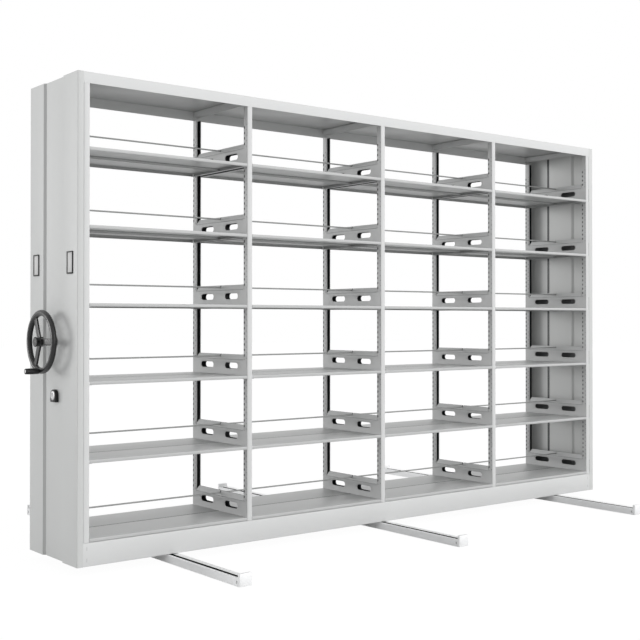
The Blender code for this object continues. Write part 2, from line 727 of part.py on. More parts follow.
def make_handwheel():
    """Cast rim, dished spokes and hub in one piece, bored for its shaft."""
    section = [(RIM_HALF_WIDE * math.cos(a), RIM_HALF_TALL * math.sin(a))
               for a in (math.tau * (i + 0.5) / RIM_FACETS for i in range(RIM_FACETS))]
    bm = bmesh.new()
    turned(bm, [(RIM_X + x, RIM_CENTRE_RADIUS + r) for x, r in section], (0, 0), RIM_STEPS)
    wheel = piece("handwheel", bm, handwheel_axis, "black_plastic", rounded=True)
    hub = bmesh.new()
    back = HUB_FACE_X + HUB_LONG
    bore = SHAFT_RADIUS + CLEAR
    bore_end = back - SHAFT_IN_HUB
    profile = [(HUB_FACE_X, 0), (HUB_FACE_X, HUB_RADIUS - HUB_CHAMFER),
               (HUB_FACE_X + HUB_CHAMFER, HUB_RADIUS), (back, HUB_RADIUS), (back, bore),
               (bore_end, bore), (bore_end, 0)]
    turned(hub, profile, (0, 0), ROUND_STEPS)
    cut(wheel, "hub_form", hub, handwheel_axis, "UNION")
    for number in range(SPOKES):
        cut(wheel, f"spoke_form_{number + 1}", spoke(number), handwheel_axis, "UNION")
    stud = bmesh.new()
    rod(stud, (0, -RIM_CENTRE_RADIUS), SPINDLE_RADIUS + CLEAR, RIM_X - RIM_HALF_WIDE - OVERRUN,
        RIM_X - RIM_HALF_WIDE + SPINDLE_SINK + CLEAR, SMALL_STEPS)
    cut(wheel, "spindle_hole", stud, handwheel_axis)


def spoke(number):
    """One tapered spoke that curves from the hub down to the rim."""
    turn = Matrix.Rotation(math.tau * number / SPOKES, 3, "X")
    start = HUB_RADIUS - SPOKE_SINK
    end = RIM_CENTRE_RADIUS - RIM_HALF_TALL + SPOKE_SINK
    root_x = HUB_FACE_X + SPOKE_ROOT_BACK
    bm = bmesh.new()
    rings = []
    for i in range(SPOKE_STEPS + 1):
        share = i / SPOKE_STEPS
        reach = start + (end - start) * share
        ease = share * share * (3 - 2 * share)
        x = root_x + (RIM_X - root_x) * ease
        half = (SPOKE_WIDE_HUB + (SPOKE_WIDE_RIM - SPOKE_WIDE_HUB) * share) / 2
        thick = SPOKE_THICK / 2
        corners = ((x - thick, -half), (x + thick, -half), (x + thick, half), (x - thick, half))
        rings.append([bm.verts.new(turn @ Vector((u, -reach, v))) for u, v in corners])
    for first, second in zip(rings, rings[1:]):
        for i in range(4):
            j = (i + 1) % 4
            bm.faces.new((first[i], first[j], second[j], second[i]))
    bm.faces.new(rings[0])
    bm.faces.new(rings[-1])
    return bm


def make_shaft():
    """The handwheel's shaft, its flanged bearing on the end panel and its sprocket."""
    start = HUB_FACE_X + HUB_LONG - SHAFT_IN_HUB + CLEAR
    end = CHAIN_X + CHAIN_WIDE + SHAFT_PAST_SPROCKET
    bm = bmesh.new()
    rod(bm, (0, 0), SHAFT_RADIUS, start, end, ROUND_STEPS)
    piece("handwheel_shaft", bm, handwheel_axis, "bright_steel", rounded=True)
    face = RECESS_OUT - CLEAR
    profile = [(face - FLANGE_THICK - BOSS_OUT_LONG, SHAFT_RADIUS + CLEAR),
               (face - FLANGE_THICK - BOSS_OUT_LONG, BOSS_RADIUS),
               (face - FLANGE_THICK, BOSS_RADIUS), (face - FLANGE_THICK, FLANGE_RADIUS),
               (face, FLANGE_RADIUS), (face, BOSS_RADIUS), (RECESS_IN + BOSS_PAST_SHEET, BOSS_RADIUS),
               (RECESS_IN + BOSS_PAST_SHEET, SHAFT_RADIUS + CLEAR)]
    bm = bmesh.new()
    turned(bm, profile, (MIDDLE_Y, HANDWHEEL_HIGH), ROUND_STEPS)
    piece("shaft_flange", bm, carriage, "black_plastic", rounded=True)


def make_crank():
    """A stud in the rim with a free-turning grip held by the stud's sunk head."""
    face = RIM_X - RIM_HALF_WIDE
    head_start = GRIP_END_X + CLEAR
    head_end = head_start + SPINDLE_HEAD_LONG
    profile = [(head_start, 0), (head_start, SPINDLE_HEAD_RADIUS), (head_end, SPINDLE_HEAD_RADIUS),
               (head_end, SPINDLE_RADIUS), (face + SPINDLE_SINK, SPINDLE_RADIUS),
               (face + SPINDLE_SINK, 0)]
    bm = bmesh.new()
    turned(bm, profile, (0, -RIM_CENTRE_RADIUS), SMALL_STEPS)
    piece("crank_spindle", bm, handwheel_axis, "bright_steel", rounded=True)
    bore = SPINDLE_RADIUS + CLEAR
    sunk = SPINDLE_HEAD_RADIUS + CLEAR
    back = face - CLEAR
    profile = [(GRIP_END_X, sunk), (GRIP_END_X, GRIP_RADIUS - GRIP_EDGE),
               (GRIP_END_X + GRIP_EDGE, GRIP_RADIUS), (back - GRIP_EDGE, GRIP_RADIUS),
               (back, GRIP_RADIUS - GRIP_EDGE), (back, bore), (head_end + CLEAR, bore),
               (head_end + CLEAR, sunk)]
    bm = bmesh.new()
    turned(bm, profile, (0, 0), SMALL_STEPS)
    piece("crank_grip", bm, grip_axis, "black_plastic", rounded=True)


def make_lock():
    """Arch-shaped lock housing on the panel, with a turning cylinder and its cam inside."""
    half = LOCK_WIDE / 2
    arch = [(LOCK_Y + half * math.cos(a), LOCK_HIGH + half * math.sin(a))
            for a in (math.pi * i / SMALL_STEPS for i in range(SMALL_STEPS + 1))]
    outline = arch + [(LOCK_Y - half, LOCK_HIGH - LOCK_BELOW), (LOCK_Y + half, LOCK_HIGH - LOCK_BELOW)]
    back = RECESS_OUT - CLEAR
    bm = bmesh.new()
    prism(bm, outline, "X", back - LOCK_THICK, back)
    housing = piece("lock_housing", bm, carriage, "black_plastic")
    bore = bmesh.new()
    rod(bore, (LOCK_Y, LOCK_HIGH), LOCK_SHANK_RADIUS + CLEAR, back - LOCK_THICK - OVERRUN,
        back + OVERRUN, ROUND_STEPS)
    cut(housing, "lock_bore", bore, carriage)
    disc = back - LOCK_THICK - CLEAR
    shank_end = RECESS_IN + LOCK_CAM_GAP
    profile = [(disc - LOCK_DISC_THICK, 0), (disc - LOCK_DISC_THICK, LOCK_DISC_RADIUS),
               (disc, LOCK_DISC_RADIUS), (disc, LOCK_SHANK_RADIUS), (shank_end, LOCK_SHANK_RADIUS),
               (shank_end, 0)]
    cylinder, cam = bmesh.new(), bmesh.new()
    turned(cylinder, profile, (0, 0), ROUND_STEPS)
    half_cam = LOCK_CAM_WIDE / 2
    box(cam, (shank_end - WELD, -half_cam, -half_cam),
        (shank_end - WELD + LOCK_CAM_THICK, half_cam, LOCK_CAM_LONG))
    welded("lock_cylinder", [cylinder, cam], lock_axis, "bright_steel", rounded=True)


def label_middles():
    """Middle of each label holder across the rack."""
    return (("near", LABEL_FROM_EDGE), ("far", RACK_DEEP - LABEL_FROM_EDGE))


def make_labels():
    """Two open-topped label holders on the raised bands, each with a card that lifts out."""
    low, high = LABEL_HIGH - LABEL_TALL / 2, LABEL_HIGH + LABEL_TALL / 2
    back = -CLEAR
    front = back - LABEL_THICK
    half = LABEL_WIDE / 2
    slot_back = back - LABEL_BACK
    slot_front = slot_back - CARD_THICK - 2 * CLEAR
    wall = LABEL_THICK - LABEL_BACK - CARD_THICK - 2 * CLEAR
    for side, middle in label_middles():
        left, right = middle - half, middle + half
        outline = [(back, left), (front, left), (front, left + LABEL_LIP),
                   (slot_front, left + LABEL_LIP), (slot_front, left + wall), (slot_back, left + wall),
                   (slot_back, right - wall), (slot_front, right - wall),
                   (slot_front, right - LABEL_LIP), (front, right - LABEL_LIP), (front, right),
                   (back, right)]
        walls, foot, card = [bmesh.new() for _ in range(3)]
        prism(walls, outline, "Z", low + WELD, high)
        box(foot, (front, left, low), (back, right, low + LABEL_LIP))
        welded(f"label_holder_{side}", [walls, foot], carriage, "black_plastic")
        box(card, (slot_front + CLEAR, left + wall + CLEAR, low + LABEL_LIP + CLEAR),
            (slot_back - CLEAR, right - wall - CLEAR, high))
        piece(f"label_card_{side}", card, carriage, "card_white")


make_rails()
make_chassis()
make_side_frames()
make_top_beams()
make_ceiling()
make_boards()
make_rods()
make_end_panels()
make_wheelsets()
make_sprocket("axle_sprocket", WHEEL_TEETH, AXLE_RADIUS + CLEAR, drive_axis)
make_sprocket("shaft_sprocket", SHAFT_TEETH, SHAFT_RADIUS + CLEAR, handwheel_axis)
make_chain()
make_handwheel()
make_shaft()
make_crank()
make_lock()
make_labels()
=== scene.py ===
"""Looks of a compact mobile shelving unit: a powder-coated double-sided steel rack that a crank
handwheel drives along three floor rails. Metres, +Z up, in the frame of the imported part."""

import math

import bmesh
import bpy
from mathutils import Matrix, Vector


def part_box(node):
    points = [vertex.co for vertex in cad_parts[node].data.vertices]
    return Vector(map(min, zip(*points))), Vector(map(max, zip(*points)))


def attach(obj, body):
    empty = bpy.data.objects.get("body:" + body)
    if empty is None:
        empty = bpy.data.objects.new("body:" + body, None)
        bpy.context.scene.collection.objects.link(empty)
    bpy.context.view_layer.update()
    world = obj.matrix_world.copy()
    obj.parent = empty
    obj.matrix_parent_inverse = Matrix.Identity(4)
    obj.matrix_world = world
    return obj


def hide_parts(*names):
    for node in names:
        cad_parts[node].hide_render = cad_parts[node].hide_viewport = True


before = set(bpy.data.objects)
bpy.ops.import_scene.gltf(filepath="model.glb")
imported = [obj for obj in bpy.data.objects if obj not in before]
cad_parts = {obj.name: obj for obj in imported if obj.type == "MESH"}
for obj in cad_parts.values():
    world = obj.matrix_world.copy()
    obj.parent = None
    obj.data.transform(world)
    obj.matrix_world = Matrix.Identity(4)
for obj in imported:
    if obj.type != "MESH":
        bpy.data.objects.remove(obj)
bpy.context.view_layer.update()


# Floor rails: three drawn steel bars with a wheel groove, in white stove enamel. The groove is
# lined with a near-black sheet, painted shade in the groove. A block is welded on each end as a
# stop, and a slot near it takes the floor anchor's key. The slot's inside takes painted shade.
RAIL_HIGH = 0.037
RAIL_EDGE = 0.0018
GROOVE_WIDE = 0.020
GROOVE_FROM_EDGE = 0.025
GROOVE_DEEP = 0.014
LINER_THICK = 0.0008
KEY_SLOT_TALL = 0.016
KEY_SLOT_WIDE = 0.008
KEY_SLOT_DEEP = 0.006
KEY_SLOT_FROM_STOP = 0.008
# Painted shade inside the key slots, on the rails' sides.
KEY_SLOT_SHADE = 0.3
STOP_THICK = 0.015
STOP_EDGE = 0.0022
GAP = 0.0003                  # between pieces that all but touch
BEND_RADIUS = 0.0012
BEND_STEPS = 3
SHARP_EDGE = math.radians(32)
CUT_EDGE = math.radians(50)
# Dark tint of the painted shade in channels, behind folds and in slots and seams.
SHADE_TINT = (0.045, 0.047, 0.050)
CLOUD_SHADE = 0.972


class Mask:
    """One output of a node, usable in sums."""

    def __init__(self, nodes, socket):
        self.nodes = nodes
        self.socket = socket

    def combine(self, operation, first, second):
        return self.nodes.node("ShaderNodeMath", {"operation": operation}, {0: first, 1: second})

    def __add__(self, other):
        return self.combine("ADD", self, other)

    def __radd__(self, other):
        return self.combine("ADD", other, self)

    def __sub__(self, other):
        return self.combine("SUBTRACT", self, other)

    def __rsub__(self, other):
        return self.combine("SUBTRACT", other, self)

    def __mul__(self, other):
        return self.combine("MULTIPLY", self, other)

    def __rmul__(self, other):
        return self.combine("MULTIPLY", other, self)


class Nodes:
    """A node tree, and one way to add any node to it."""

    def __init__(self, tree):
        self.tree = tree

    def node(self, kind, settings=None, inputs=None, output=0):
        made = self.tree.nodes.new(kind)
        for key, value in (settings or {}).items():
            setattr(made, key, value)
        for key, value in (inputs or {}).items():
            self.feed(made.inputs[key], value)
        return Mask(self, made.outputs[output])

    def feed(self, target, value):
        if isinstance(value, Mask):
            self.tree.links.new(value.socket, target)
        else:
            target.default_value = value


class Finish(Nodes):
    """A material with its Principled shader."""

    def __init__(self, name, roughness, metallic=0.0, specular=0.5):
        self.material = bpy.data.materials.new(name)
        self.material.use_nodes = True
        super().__init__(self.material.node_tree)
        self.shader = self.tree.nodes["Principled BSDF"].inputs
        self.shader["Roughness"].default_value = roughness
        self.shader["Metallic"].default_value = metallic
        self.shader["Specular IOR Level"].default_value = specular

    def grain(self, scale, detail=2.0, stretch=(1.0, 1.0, 1.0)):
        place = self.node("ShaderNodeTexCoord", output="Object")
        spot = self.node("ShaderNodeMapping", None, {"Vector": place, "Scale": stretch})
        return self.node("ShaderNodeTexNoise", None, {"Vector": spot, "Scale": scale, "Detail": detail},
                         output="Fac")

    def blend(self, mask, first, second):
        """A colour that runs from the first to the second as the mask rises."""
        first, second = [c if isinstance(c, Mask) else (*c, 1.0) for c in (first, second)]
        return self.node("ShaderNodeMix", {"data_type": "RGBA", "clamp_factor": True},
                         {0: mask, 6: first, 7: second}, output=2)

    def bump(self, height, depth, strength):
        made = self.node("ShaderNodeBump", None, {"Strength": strength, "Distance": depth, "Height": height},
                         output="Normal")
        self.feed(self.shader["Normal"], made)


def powder_coat(name, colour, roughness):
    """Baked powder with slow clouds in the tint and a millimetre-fine skin. Faces marked in a face
    attribute are painted towards a dark tint, as painted shade inside channels, behind folds and in slots
    and seams."""
    made = Finish(name, roughness)
    dark, light = [c * CLOUD_SHADE for c in colour], [min(c / CLOUD_SHADE, 1.0) for c in colour]
    coat = made.blend(made.grain(2.2, detail=3.0), dark, light)
    shade_mask = made.node("ShaderNodeAttribute", {"attribute_name": "painted_shade"}, output="Fac")
    made.feed(made.shader["Base Color"], made.blend(shade_mask, coat, SHADE_TINT))
    made.feed(made.shader["Roughness"], roughness - 0.04 + 0.08 * made.grain(35.0))
    made.bump(made.grain(620.0, detail=1.0), depth=0.00012, strength=0.35)
    return made.material


def worn(name, tints, rough, spread, patches, skin=None, relief=None, **base):
    """A finish whose tint and roughness wander over patches of grain. The relief is that of a
    finer skin, or of the patches themselves."""
    made = Finish(name, rough, **base)
    mask = made.grain(*patches)
    made.feed(made.shader["Base Color"], made.blend(mask, *tints))
    if spread:
        made.feed(made.shader["Roughness"], rough - spread / 2 + spread * mask)
    if relief:
        made.bump(made.grain(*skin) if skin else mask, *relief)
    return made.material


turn_to = {
    "X": lambda u, v, w: (w, u, v),
    "Y": lambda u, v, w: (u, w, v),
    "Z": lambda u, v, w: (u, v, w),
}


def bent_faces(path, thickness, radius=BEND_RADIUS):
    """Outer and inner face points of a bent strip."""
    corners = [Vector(p) for p in path]
    ways = [(b - a).normalized() for a, b in zip(corners, corners[1:])]
    outer, inner = [], []

    def lay(point, way):
        outer.append(point)
        inner.append(point + Vector((-way.y, way.x)) * thickness)

    lay(corners[0], ways[0])
    for corner, before, after in zip(corners[1:], ways, ways[1:]):
        side = before.x * after.y - before.y * after.x
        angle = before.angle(after)
        reach = radius + (abs(thickness) if side * thickness > 0 else 0.0)
        lean = math.copysign(1.0, side)
        centre = corner - before * reach * math.tan(angle / 2) + Vector((-before.y, before.x)) * lean * reach
        for i in range(BEND_STEPS + 1):
            way = Matrix.Rotation(lean * angle * i / BEND_STEPS, 2) @ before
            lay(centre - Vector((-way.y, way.x)) * lean * reach, way)
    lay(corners[-1], ways[-1])
    return outer, inner


def bent_sheet(bm, path, thickness, axis, start, end, radius=BEND_RADIUS):
    """A bent strip, closed all round, extruded along an axis."""
    outer, inner = bent_faces(path, thickness, radius)
    rings = [[bm.verts.new(turn_to[axis](p.x, p.y, w)) for p in face]
             for face, w in ((outer, start), (outer, end), (inner, end), (inner, start))]
    for first, second in zip(rings, rings[1:] + rings[:1]):
        for i in range(len(first) - 1):
            bm.faces.new((first[i], first[i + 1], second[i + 1], second[i]))
    for i in (0, -1):
        bm.faces.new([ring[i] for ring in rings])


def walls(bm, rings):
    """Faces between rings of as many corners each."""
    for first, second in zip(rings, rings[1:]):
        for i in range(len(first)):
            j = (i + 1) % len(first)
            bm.faces.new((first[i], first[j], second[j], second[i]))


def stacked(bm, rings):
    """A closed shape through rings of as many points each."""
    made = [[bm.verts.new(p) for p in ring] for ring in rings]
    walls(bm, made)
    bm.faces.new(made[0])
    bm.faces.new(made[-1])


def prism(bm, section, axis, ends):
    """A closed bar with the given section between two places on an axis."""
    stacked(bm, [[turn_to[axis](u, v, w) for u, v in section] for w in ends])


def block(bm, low, high):
    """A box between two corners, before its edges are rounded."""
    (x0, y0, z0), (x1, y1, z1) = low, high
    prism(bm, [(x0, y0), (x1, y0), (x1, y1), (x0, y1)], "Z", (z0, z1))


def built(add, *parts):
    """A new bmesh with parts of one kind in it: prisms, blocks, bent sheets or turned parts."""
    bm = bmesh.new()
    for part in parts:
        add(bm, *part)
    return bm


def arc(centre, radius, first, last, steps=4):
    """Points along an arc between two angles in degrees."""
    u, v = centre
    angles = [math.radians(first + (last - first) * i / steps) for i in range(steps + 1)]
    return [(u + radius * math.cos(a), v + radius * math.sin(a)) for a in angles]


def oblong(middle, long, tall, steps=6):
    """Points round an oblong slot: two half rounds and two straight sides."""
    u, v = middle
    reach = (long - tall) / 2
    return (arc((u + reach, v), tall / 2, -90, 90, steps) + arc((u - reach, v), tall / 2, 90, 270, steps))


def upright_oblong(middle, tall, wide, steps=6):
    """Points round an upright oblong slot."""
    return [(u, v) for v, u in oblong((middle[1], middle[0]), tall, wide, steps)]


def placed(name, data):
    """A new object in the scene."""
    made = bpy.data.objects.new(name, data)
    bpy.context.scene.collection.objects.link(made)
    return made


def meshed(name, bm):
    """A bmesh made into a mesh."""
    mesh = bpy.data.meshes.new(name)
    bm.to_mesh(mesh)
    bm.free()
    return mesh


def mesh_piece(name, bm, material, closed=True):
    """A bmesh made into an object with its finish."""
    if closed:
        bmesh.ops.remove_doubles(bm, verts=bm.verts, dist=1e-6)
        bmesh.ops.recalc_face_normals(bm, faces=bm.faces)
    made = placed(name, meshed(name, bm))
    made.data.materials.append(material)
    return soften(made)


def soften(made, angle=SHARP_EDGE):
    """Smooth shading that keeps the real edges."""
    made.data.shade_smooth()
    made.data.set_sharp_from_angle(angle=angle)
    return made


def settle(piece, body, slot, *nodes):
    """Hand a finished piece to its body, and hide the solids that it stands for. The slot is not used."""
    if nodes:
        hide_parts(*nodes)
    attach(piece, body)


def worked(made, *steps):
    """The piece with modifiers worked into a plain mesh. Each step is a kind and its settings."""
    for kind, settings in steps:
        modifier = made.modifiers.new(kind.lower(), kind)
        for key, value in settings.items():
            setattr(modifier, key, value)
    graph = bpy.context.evaluated_depsgraph_get()
    mesh = bpy.data.meshes.new_from_object(made.evaluated_get(graph))
    made.modifiers.clear()
    made.data = mesh
    return made


def softened_edges(made, width, segments=2, angle=40):
    """A small round on every edge, as a press, a mould or a file leaves it."""
    worked(made, ("BEVEL", {"width": width, "segments": segments, "limit_method": "ANGLE",
                            "angle_limit": math.radians(angle), "harden_normals": True}))
    return soften(made, math.radians(60))


def cut_out(made, bm, angle=SHARP_EDGE):
    """Cut the shapes in a bmesh out of a piece."""
    bmesh.ops.recalc_face_normals(bm, faces=bm.faces)
    tool = placed("cut", meshed("cut", bm))
    worked(made, ("BOOLEAN", {"operation": "DIFFERENCE", "solver": "EXACT", "object": tool}))
    bpy.data.objects.remove(tool)
    soften(made, angle)


def paint_shade(made, shade_at):
    """Note on each face how much painted shade it takes, from 0 to 1."""
    shade_mask = made.data.attributes.new("painted_shade", "FLOAT", "FACE")
    shade_mask.data.foreach_set("value", [float(shade_at(face)) for face in made.data.polygons])


rail_coat = powder_coat("rail_enamel", (0.97, 0.975, 0.975), 0.36)
# Near-black lining: painted shade in the rail's groove.
groove_shade = worn("groove_lining", ((0.003, 0.003, 0.003), (0.011, 0.011, 0.010)), 0.75, 0.3,
                   patches=(45.0, 5.0), skin=(300.0,), relief=(0.0002, 0.4), specular=0.1)
rail_boxes = [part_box(f"rail_{number}") for number in (1, 2, 3)]
for number, (low, high) in enumerate(rail_boxes, start=1):
    node = f"rail_{number}"
    groove = low.x + GROOVE_FROM_EDGE
    left, right = groove - GROOVE_WIDE / 2, groove + GROOVE_WIDE / 2
    top, middle = low.z + RAIL_HIGH, low.z + RAIL_HIGH / 2
    start, end = low.y + STOP_THICK, high.y - STOP_THICK
    outline = [(low.x, low.z), (high.x, low.z)]
    outline += arc((high.x - RAIL_EDGE, top - RAIL_EDGE), RAIL_EDGE, 0, 90)
    outline += [(right, top), (right, top - GROOVE_DEEP), (left, top - GROOVE_DEEP), (left, top)]
    outline += arc((low.x + RAIL_EDGE, top - RAIL_EDGE), RAIL_EDGE, 90, 180)
    rail = mesh_piece(f"floor_rail_{number}", built(prism, (outline, "Y", (start, end))), rail_coat)
    key_slots = [(upright_oblong((y, middle), KEY_SLOT_TALL, KEY_SLOT_WIDE), "X", (x - depth / 2, x + depth))
                 for y in (start + KEY_SLOT_FROM_STOP, end - KEY_SLOT_FROM_STOP)
                 for x, depth in ((low.x, KEY_SLOT_DEEP), (high.x, -KEY_SLOT_DEEP))]
    cut_out(rail, built(prism, *key_slots), CUT_EDGE)

    def key_slot_shade(face):
        deep = min(face.center.x - low.x, high.x - face.center.x)
        inside = 0.0005 < deep < 1.1 * KEY_SLOT_DEEP and abs(face.center.z - middle) < 0.6 * KEY_SLOT_TALL
        return KEY_SLOT_SHADE if inside else 0.0

    paint_shade(rail, key_slot_shade)
    settle(rail, "track", "rail_white", node)

    stop_blocks = built(block, (low, (high.x, start, high.z)), ((low.x, end, low.z), high))
    stops = mesh_piece(f"rail_stops_{number}", stop_blocks, rail_coat)
    softened_edges(stops, STOP_EDGE, segments=3)
    settle(stops, "track", "rail_white", node)

    bottom = top - GROOVE_DEEP + GAP
    path = [(left + GAP, top - GAP), (left + GAP, bottom), (right - GAP, bottom), (right - GAP, top - GAP)]
    lining = built(bent_sheet, (path, LINER_THICK, "Y", start, end, LINER_THICK))
    settle(mesh_piece(f"rail_groove_{number}", lining, groove_shade), "track", "groove_steel", node)


# Base: front and back channel beams carry the rack. They are folded from 2 mm sheet and joined
# by cross members and by the plates that hold the axles' bearing bosses, all welded and coated.
BEAM_SHEET = 0.002
BEAM_FLANGE = 0.040
MEMBER_WIDE = 0.050
MEMBER_TALL = 0.0392
PLATE_THICK = 0.006
PLATE_EDGE = 0.0008
BOSS_RADIUS = 0.016
BOSS_LONG = 0.014
BOSS_CHAMFER = 0.0012
BOSS_IN_PLATE = 0.001         # how far a boss is larger than its hole in the plate
AXLE_RADIUS = 0.010
AXLE_BORE = AXLE_RADIUS + GAP
WHEEL_FLANGE_HALF = 0.0045
WHEEL_HUB_LONG = 0.010
TREAD_LONG = 0.028
WHEEL_TO_PLATE = 0.012

rack_coat = powder_coat("rack_powder_coat", (0.67, 0.675, 0.67), 0.42)
oiled_steel = worn("oiled_steel", ((0.16, 0.156, 0.152), (0.24, 0.24, 0.24)), 0.42, 0.16,
                   patches=(60.0, 4.0, (1.0, 0.05, 1.0)), skin=(400.0,), relief=(0.0001, 0.3), metallic=1.0)
base_low, base_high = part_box("chassis")
depth_middle = (base_low.y + base_high.y) / 2


def mirrored(path):
    """A path across the rack, seen from the other side."""
    return [(2 * depth_middle - y, z) for y, z in path]


def both_sides(path, sheet, start, end):
    """A bent sheet along the rack's front and its mirror image along the back."""
    return built(bent_sheet, (path, -sheet, "X", start, end), (mirrored(path), sheet, "X", start, end))


def middle_of(node):
    """Middle of a solid's box, across the X axis."""
    low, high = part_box(node)
    return (low.y + high.y) / 2, (low.z + high.z) / 2


def circle(centre, radius, sides):
    """Points round a circle, in the plane of its centre."""
    u, v = centre
    turns = [math.tau * i / sides for i in range(sides)]
    return [(u + radius * math.cos(t), v + radius * math.sin(t)) for t in turns]


def lathe(bm, profile, centre, steps, closed=False):
    """A part turned about an axis along X, from (x, radius) points."""
    y, z = centre
    points = [bm.verts.new((x, y, z + radius)) for x, radius in profile]
    edges = [bm.edges.new(pair) for pair in zip(points, points[1:])]
    if closed:
        edges.append(bm.edges.new((points[-1], points[0])))
    bmesh.ops.spin(bm, geom=points + edges, cent=(0, y, z), axis=(1, 0, 0), angle=math.tau,
                   steps=steps, use_merge=True)


flange_y = base_low.y + BEAM_FLANGE
channel = [(flange_y, base_low.z), (base_low.y, base_low.z),
           (base_low.y, base_high.z), (flange_y, base_high.z)]
beams = mesh_piece("base_beams", both_sides(channel, BEAM_SHEET, base_low.x, base_high.x), rack_coat)
settle(beams, "carriage", "front_grey", "chassis")

groove_xs = [low.x + GROOVE_FROM_EDGE for low, high in rail_boxes]
inner_front, inner_back = base_low.y + BEAM_SHEET, base_high.y - BEAM_SHEET
inner_top = base_high.z - BEAM_SHEET
member_xs = [base_low.x + MEMBER_WIDE / 2] + [(a + b) / 2 for a, b in zip(groove_xs, groove_xs[1:])]
member_xs.append(base_high.x - MEMBER_WIDE / 2)
half, foot = MEMBER_WIDE / 2, inner_top - MEMBER_TALL
members = [([(x - half, foot), (x - half, inner_top), (x + half, inner_top), (x + half, foot)],
            -BEAM_SHEET, "Y", inner_front, inner_back) for x in member_xs]
settle(mesh_piece("base_cross_members", built(bent_sheet, *members), rack_coat),
       "carriage", "front_grey", "chassis")

axle_places = {node: middle_of(node) for node in ("drive_wheelset", "idler_wheelset")}
plate_xs = [base_low.x + MEMBER_WIDE + PLATE_THICK / 2]
for x in groove_xs:
    plate_xs.append(x - WHEEL_FLANGE_HALF - WHEEL_HUB_LONG - WHEEL_TO_PLATE - PLATE_THICK / 2)
    plate_xs.append(x + WHEEL_FLANGE_HALF + TREAD_LONG + WHEEL_TO_PLATE + PLATE_THICK / 2)
boss_spots = [(x, centre) for x in plate_xs for centre in axle_places.values()]
half = PLATE_THICK / 2
plate_blocks = [((x - half, inner_front, base_low.z + BEAM_SHEET), (x + half, inner_back, inner_top))
                for x in plate_xs]
plates = mesh_piece("axle_carrier_plates", built(block, *plate_blocks), rack_coat)
softened_edges(plates, PLATE_EDGE)
boss_holes = [(circle(centre, BOSS_RADIUS - BOSS_IN_PLATE, 32), "X", (x - PLATE_THICK, x + PLATE_THICK))
              for x, centre in boss_spots]
cut_out(plates, built(prism, *boss_holes), CUT_EDGE)
settle(plates, "carriage", "front_grey", "chassis")


def boss(x):
    """Profile of a bearing boss about its place on the axle."""
    half, shoulder = BOSS_LONG / 2, BOSS_RADIUS - BOSS_CHAMFER
    return [(x - half, AXLE_BORE), (x - half, shoulder), (x - half + BOSS_CHAMFER, BOSS_RADIUS),
            (x + half - BOSS_CHAMFER, BOSS_RADIUS), (x + half, shoulder), (x + half, AXLE_BORE)]


bosses = built(lathe, *[(boss(x), centre, 40, True) for x, centre in boss_spots])
settle(mesh_piece("axle_bearing_bosses", bosses, oiled_steel), "carriage", "front_grey", "chassis")


# Uprights: ten channels folded from 2 mm strip, with inward lips. Each side wall is punched with
# a row of slots at 28 mm steps, in which the shelf brackets hook, and a row of small round holes
# for bolts. Shade is painted inside, a little on the outer side walls, and on a strip behind the slots.
FRAMES = 5
UPRIGHT_SHEET = 0.002
UPRIGHT_WIDE = 0.031
UPRIGHT_DEEP = 0.036
UPRIGHT_LIP = 0.005
UPRIGHT_BEND = 0.0015
HOLE_PITCH = 0.028
SLOT_TALL_UPRIGHT = 0.0148
SLOT_WIDE_UPRIGHT = 0.0080
SLOT_SHARE = 0.29             # slot's middle, as a share of its pitch
SLOT_FROM_BEAM = 0.0369       # first slot's middle over the base beam
SLOT_FROM_EDGE = 0.0085
BOLT_HOLE_RADIUS = 0.0030
BOLT_HOLE_SHARE = 0.79
BOLT_HOLE_FROM_EDGE = 0.0077
PLAIN_TOP_CELLS = 3
SHADE_STRIP_HALF = 0.0004
SHADE_STRIP_GAP = 0.0022        # between a side wall and the strip behind its slots
# Painted shade on the outer side walls of the uprights and on the brackets' plates.
SIDE_SHADE = 0.32
WELD = 1e-5                   # points that are nearer than this are one

centres = [sum(corner.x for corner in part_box(f"side_frame_{n}")) / 2 for n in (2, 3)]
bay_pitch = centres[1] - centres[0]
frame_xs = [centres[0] + (i - 1) * bay_pitch for i in range(FRAMES)]
side_frames = [f"side_frame_{n}" for n in range(1, FRAMES + 1)]
upright_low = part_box("side_frame_1")[0].z
upright_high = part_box("top_beam_front")[0].z - GAP
rack_front, rack_back = base_low.y, base_high.y


class Tree(Nodes):
    """A Geometry Nodes tree that works on the object's own mesh, with named inputs."""

    def __init__(self, name, inputs):
        super().__init__(bpy.data.node_groups.new(name, "GeometryNodeTree"))
        sockets = self.tree.interface
        sockets.new_socket("Geometry", in_out="OUTPUT", socket_type="NodeSocketGeometry")
        self.named = {}
        for label, kind in [("Geometry", "Geometry"), *inputs, ("Finish", "Material")]:
            made = sockets.new_socket(label, in_out="INPUT", socket_type=f"NodeSocket{kind}")
            self.named[label] = made.identifier
        self.start = self.tree.nodes.new("NodeGroupInput")
        self.end = self.tree.nodes.new("NodeGroupOutput")

    def given(self, name):
        return Mask(self, self.start.outputs[name])

    def finish(self, geometry):
        """End in Realize Instances and Set Material."""
        real = self.node("GeometryNodeRealizeInstances", None, {"Geometry": geometry})
        painted = self.node("GeometryNodeSetMaterial", None,
                            {"Geometry": real, "Material": self.given("Finish")})
        self.feed(self.end.inputs["Geometry"], painted)
        return self

    def apply(self, made, values):
        modifier = made.modifiers.new(self.tree.name, "NODES")
        modifier.node_group = self.tree
        for name, value in values.items():
            modifier[self.named[name]] = value
        worked(made)
        return soften(made)


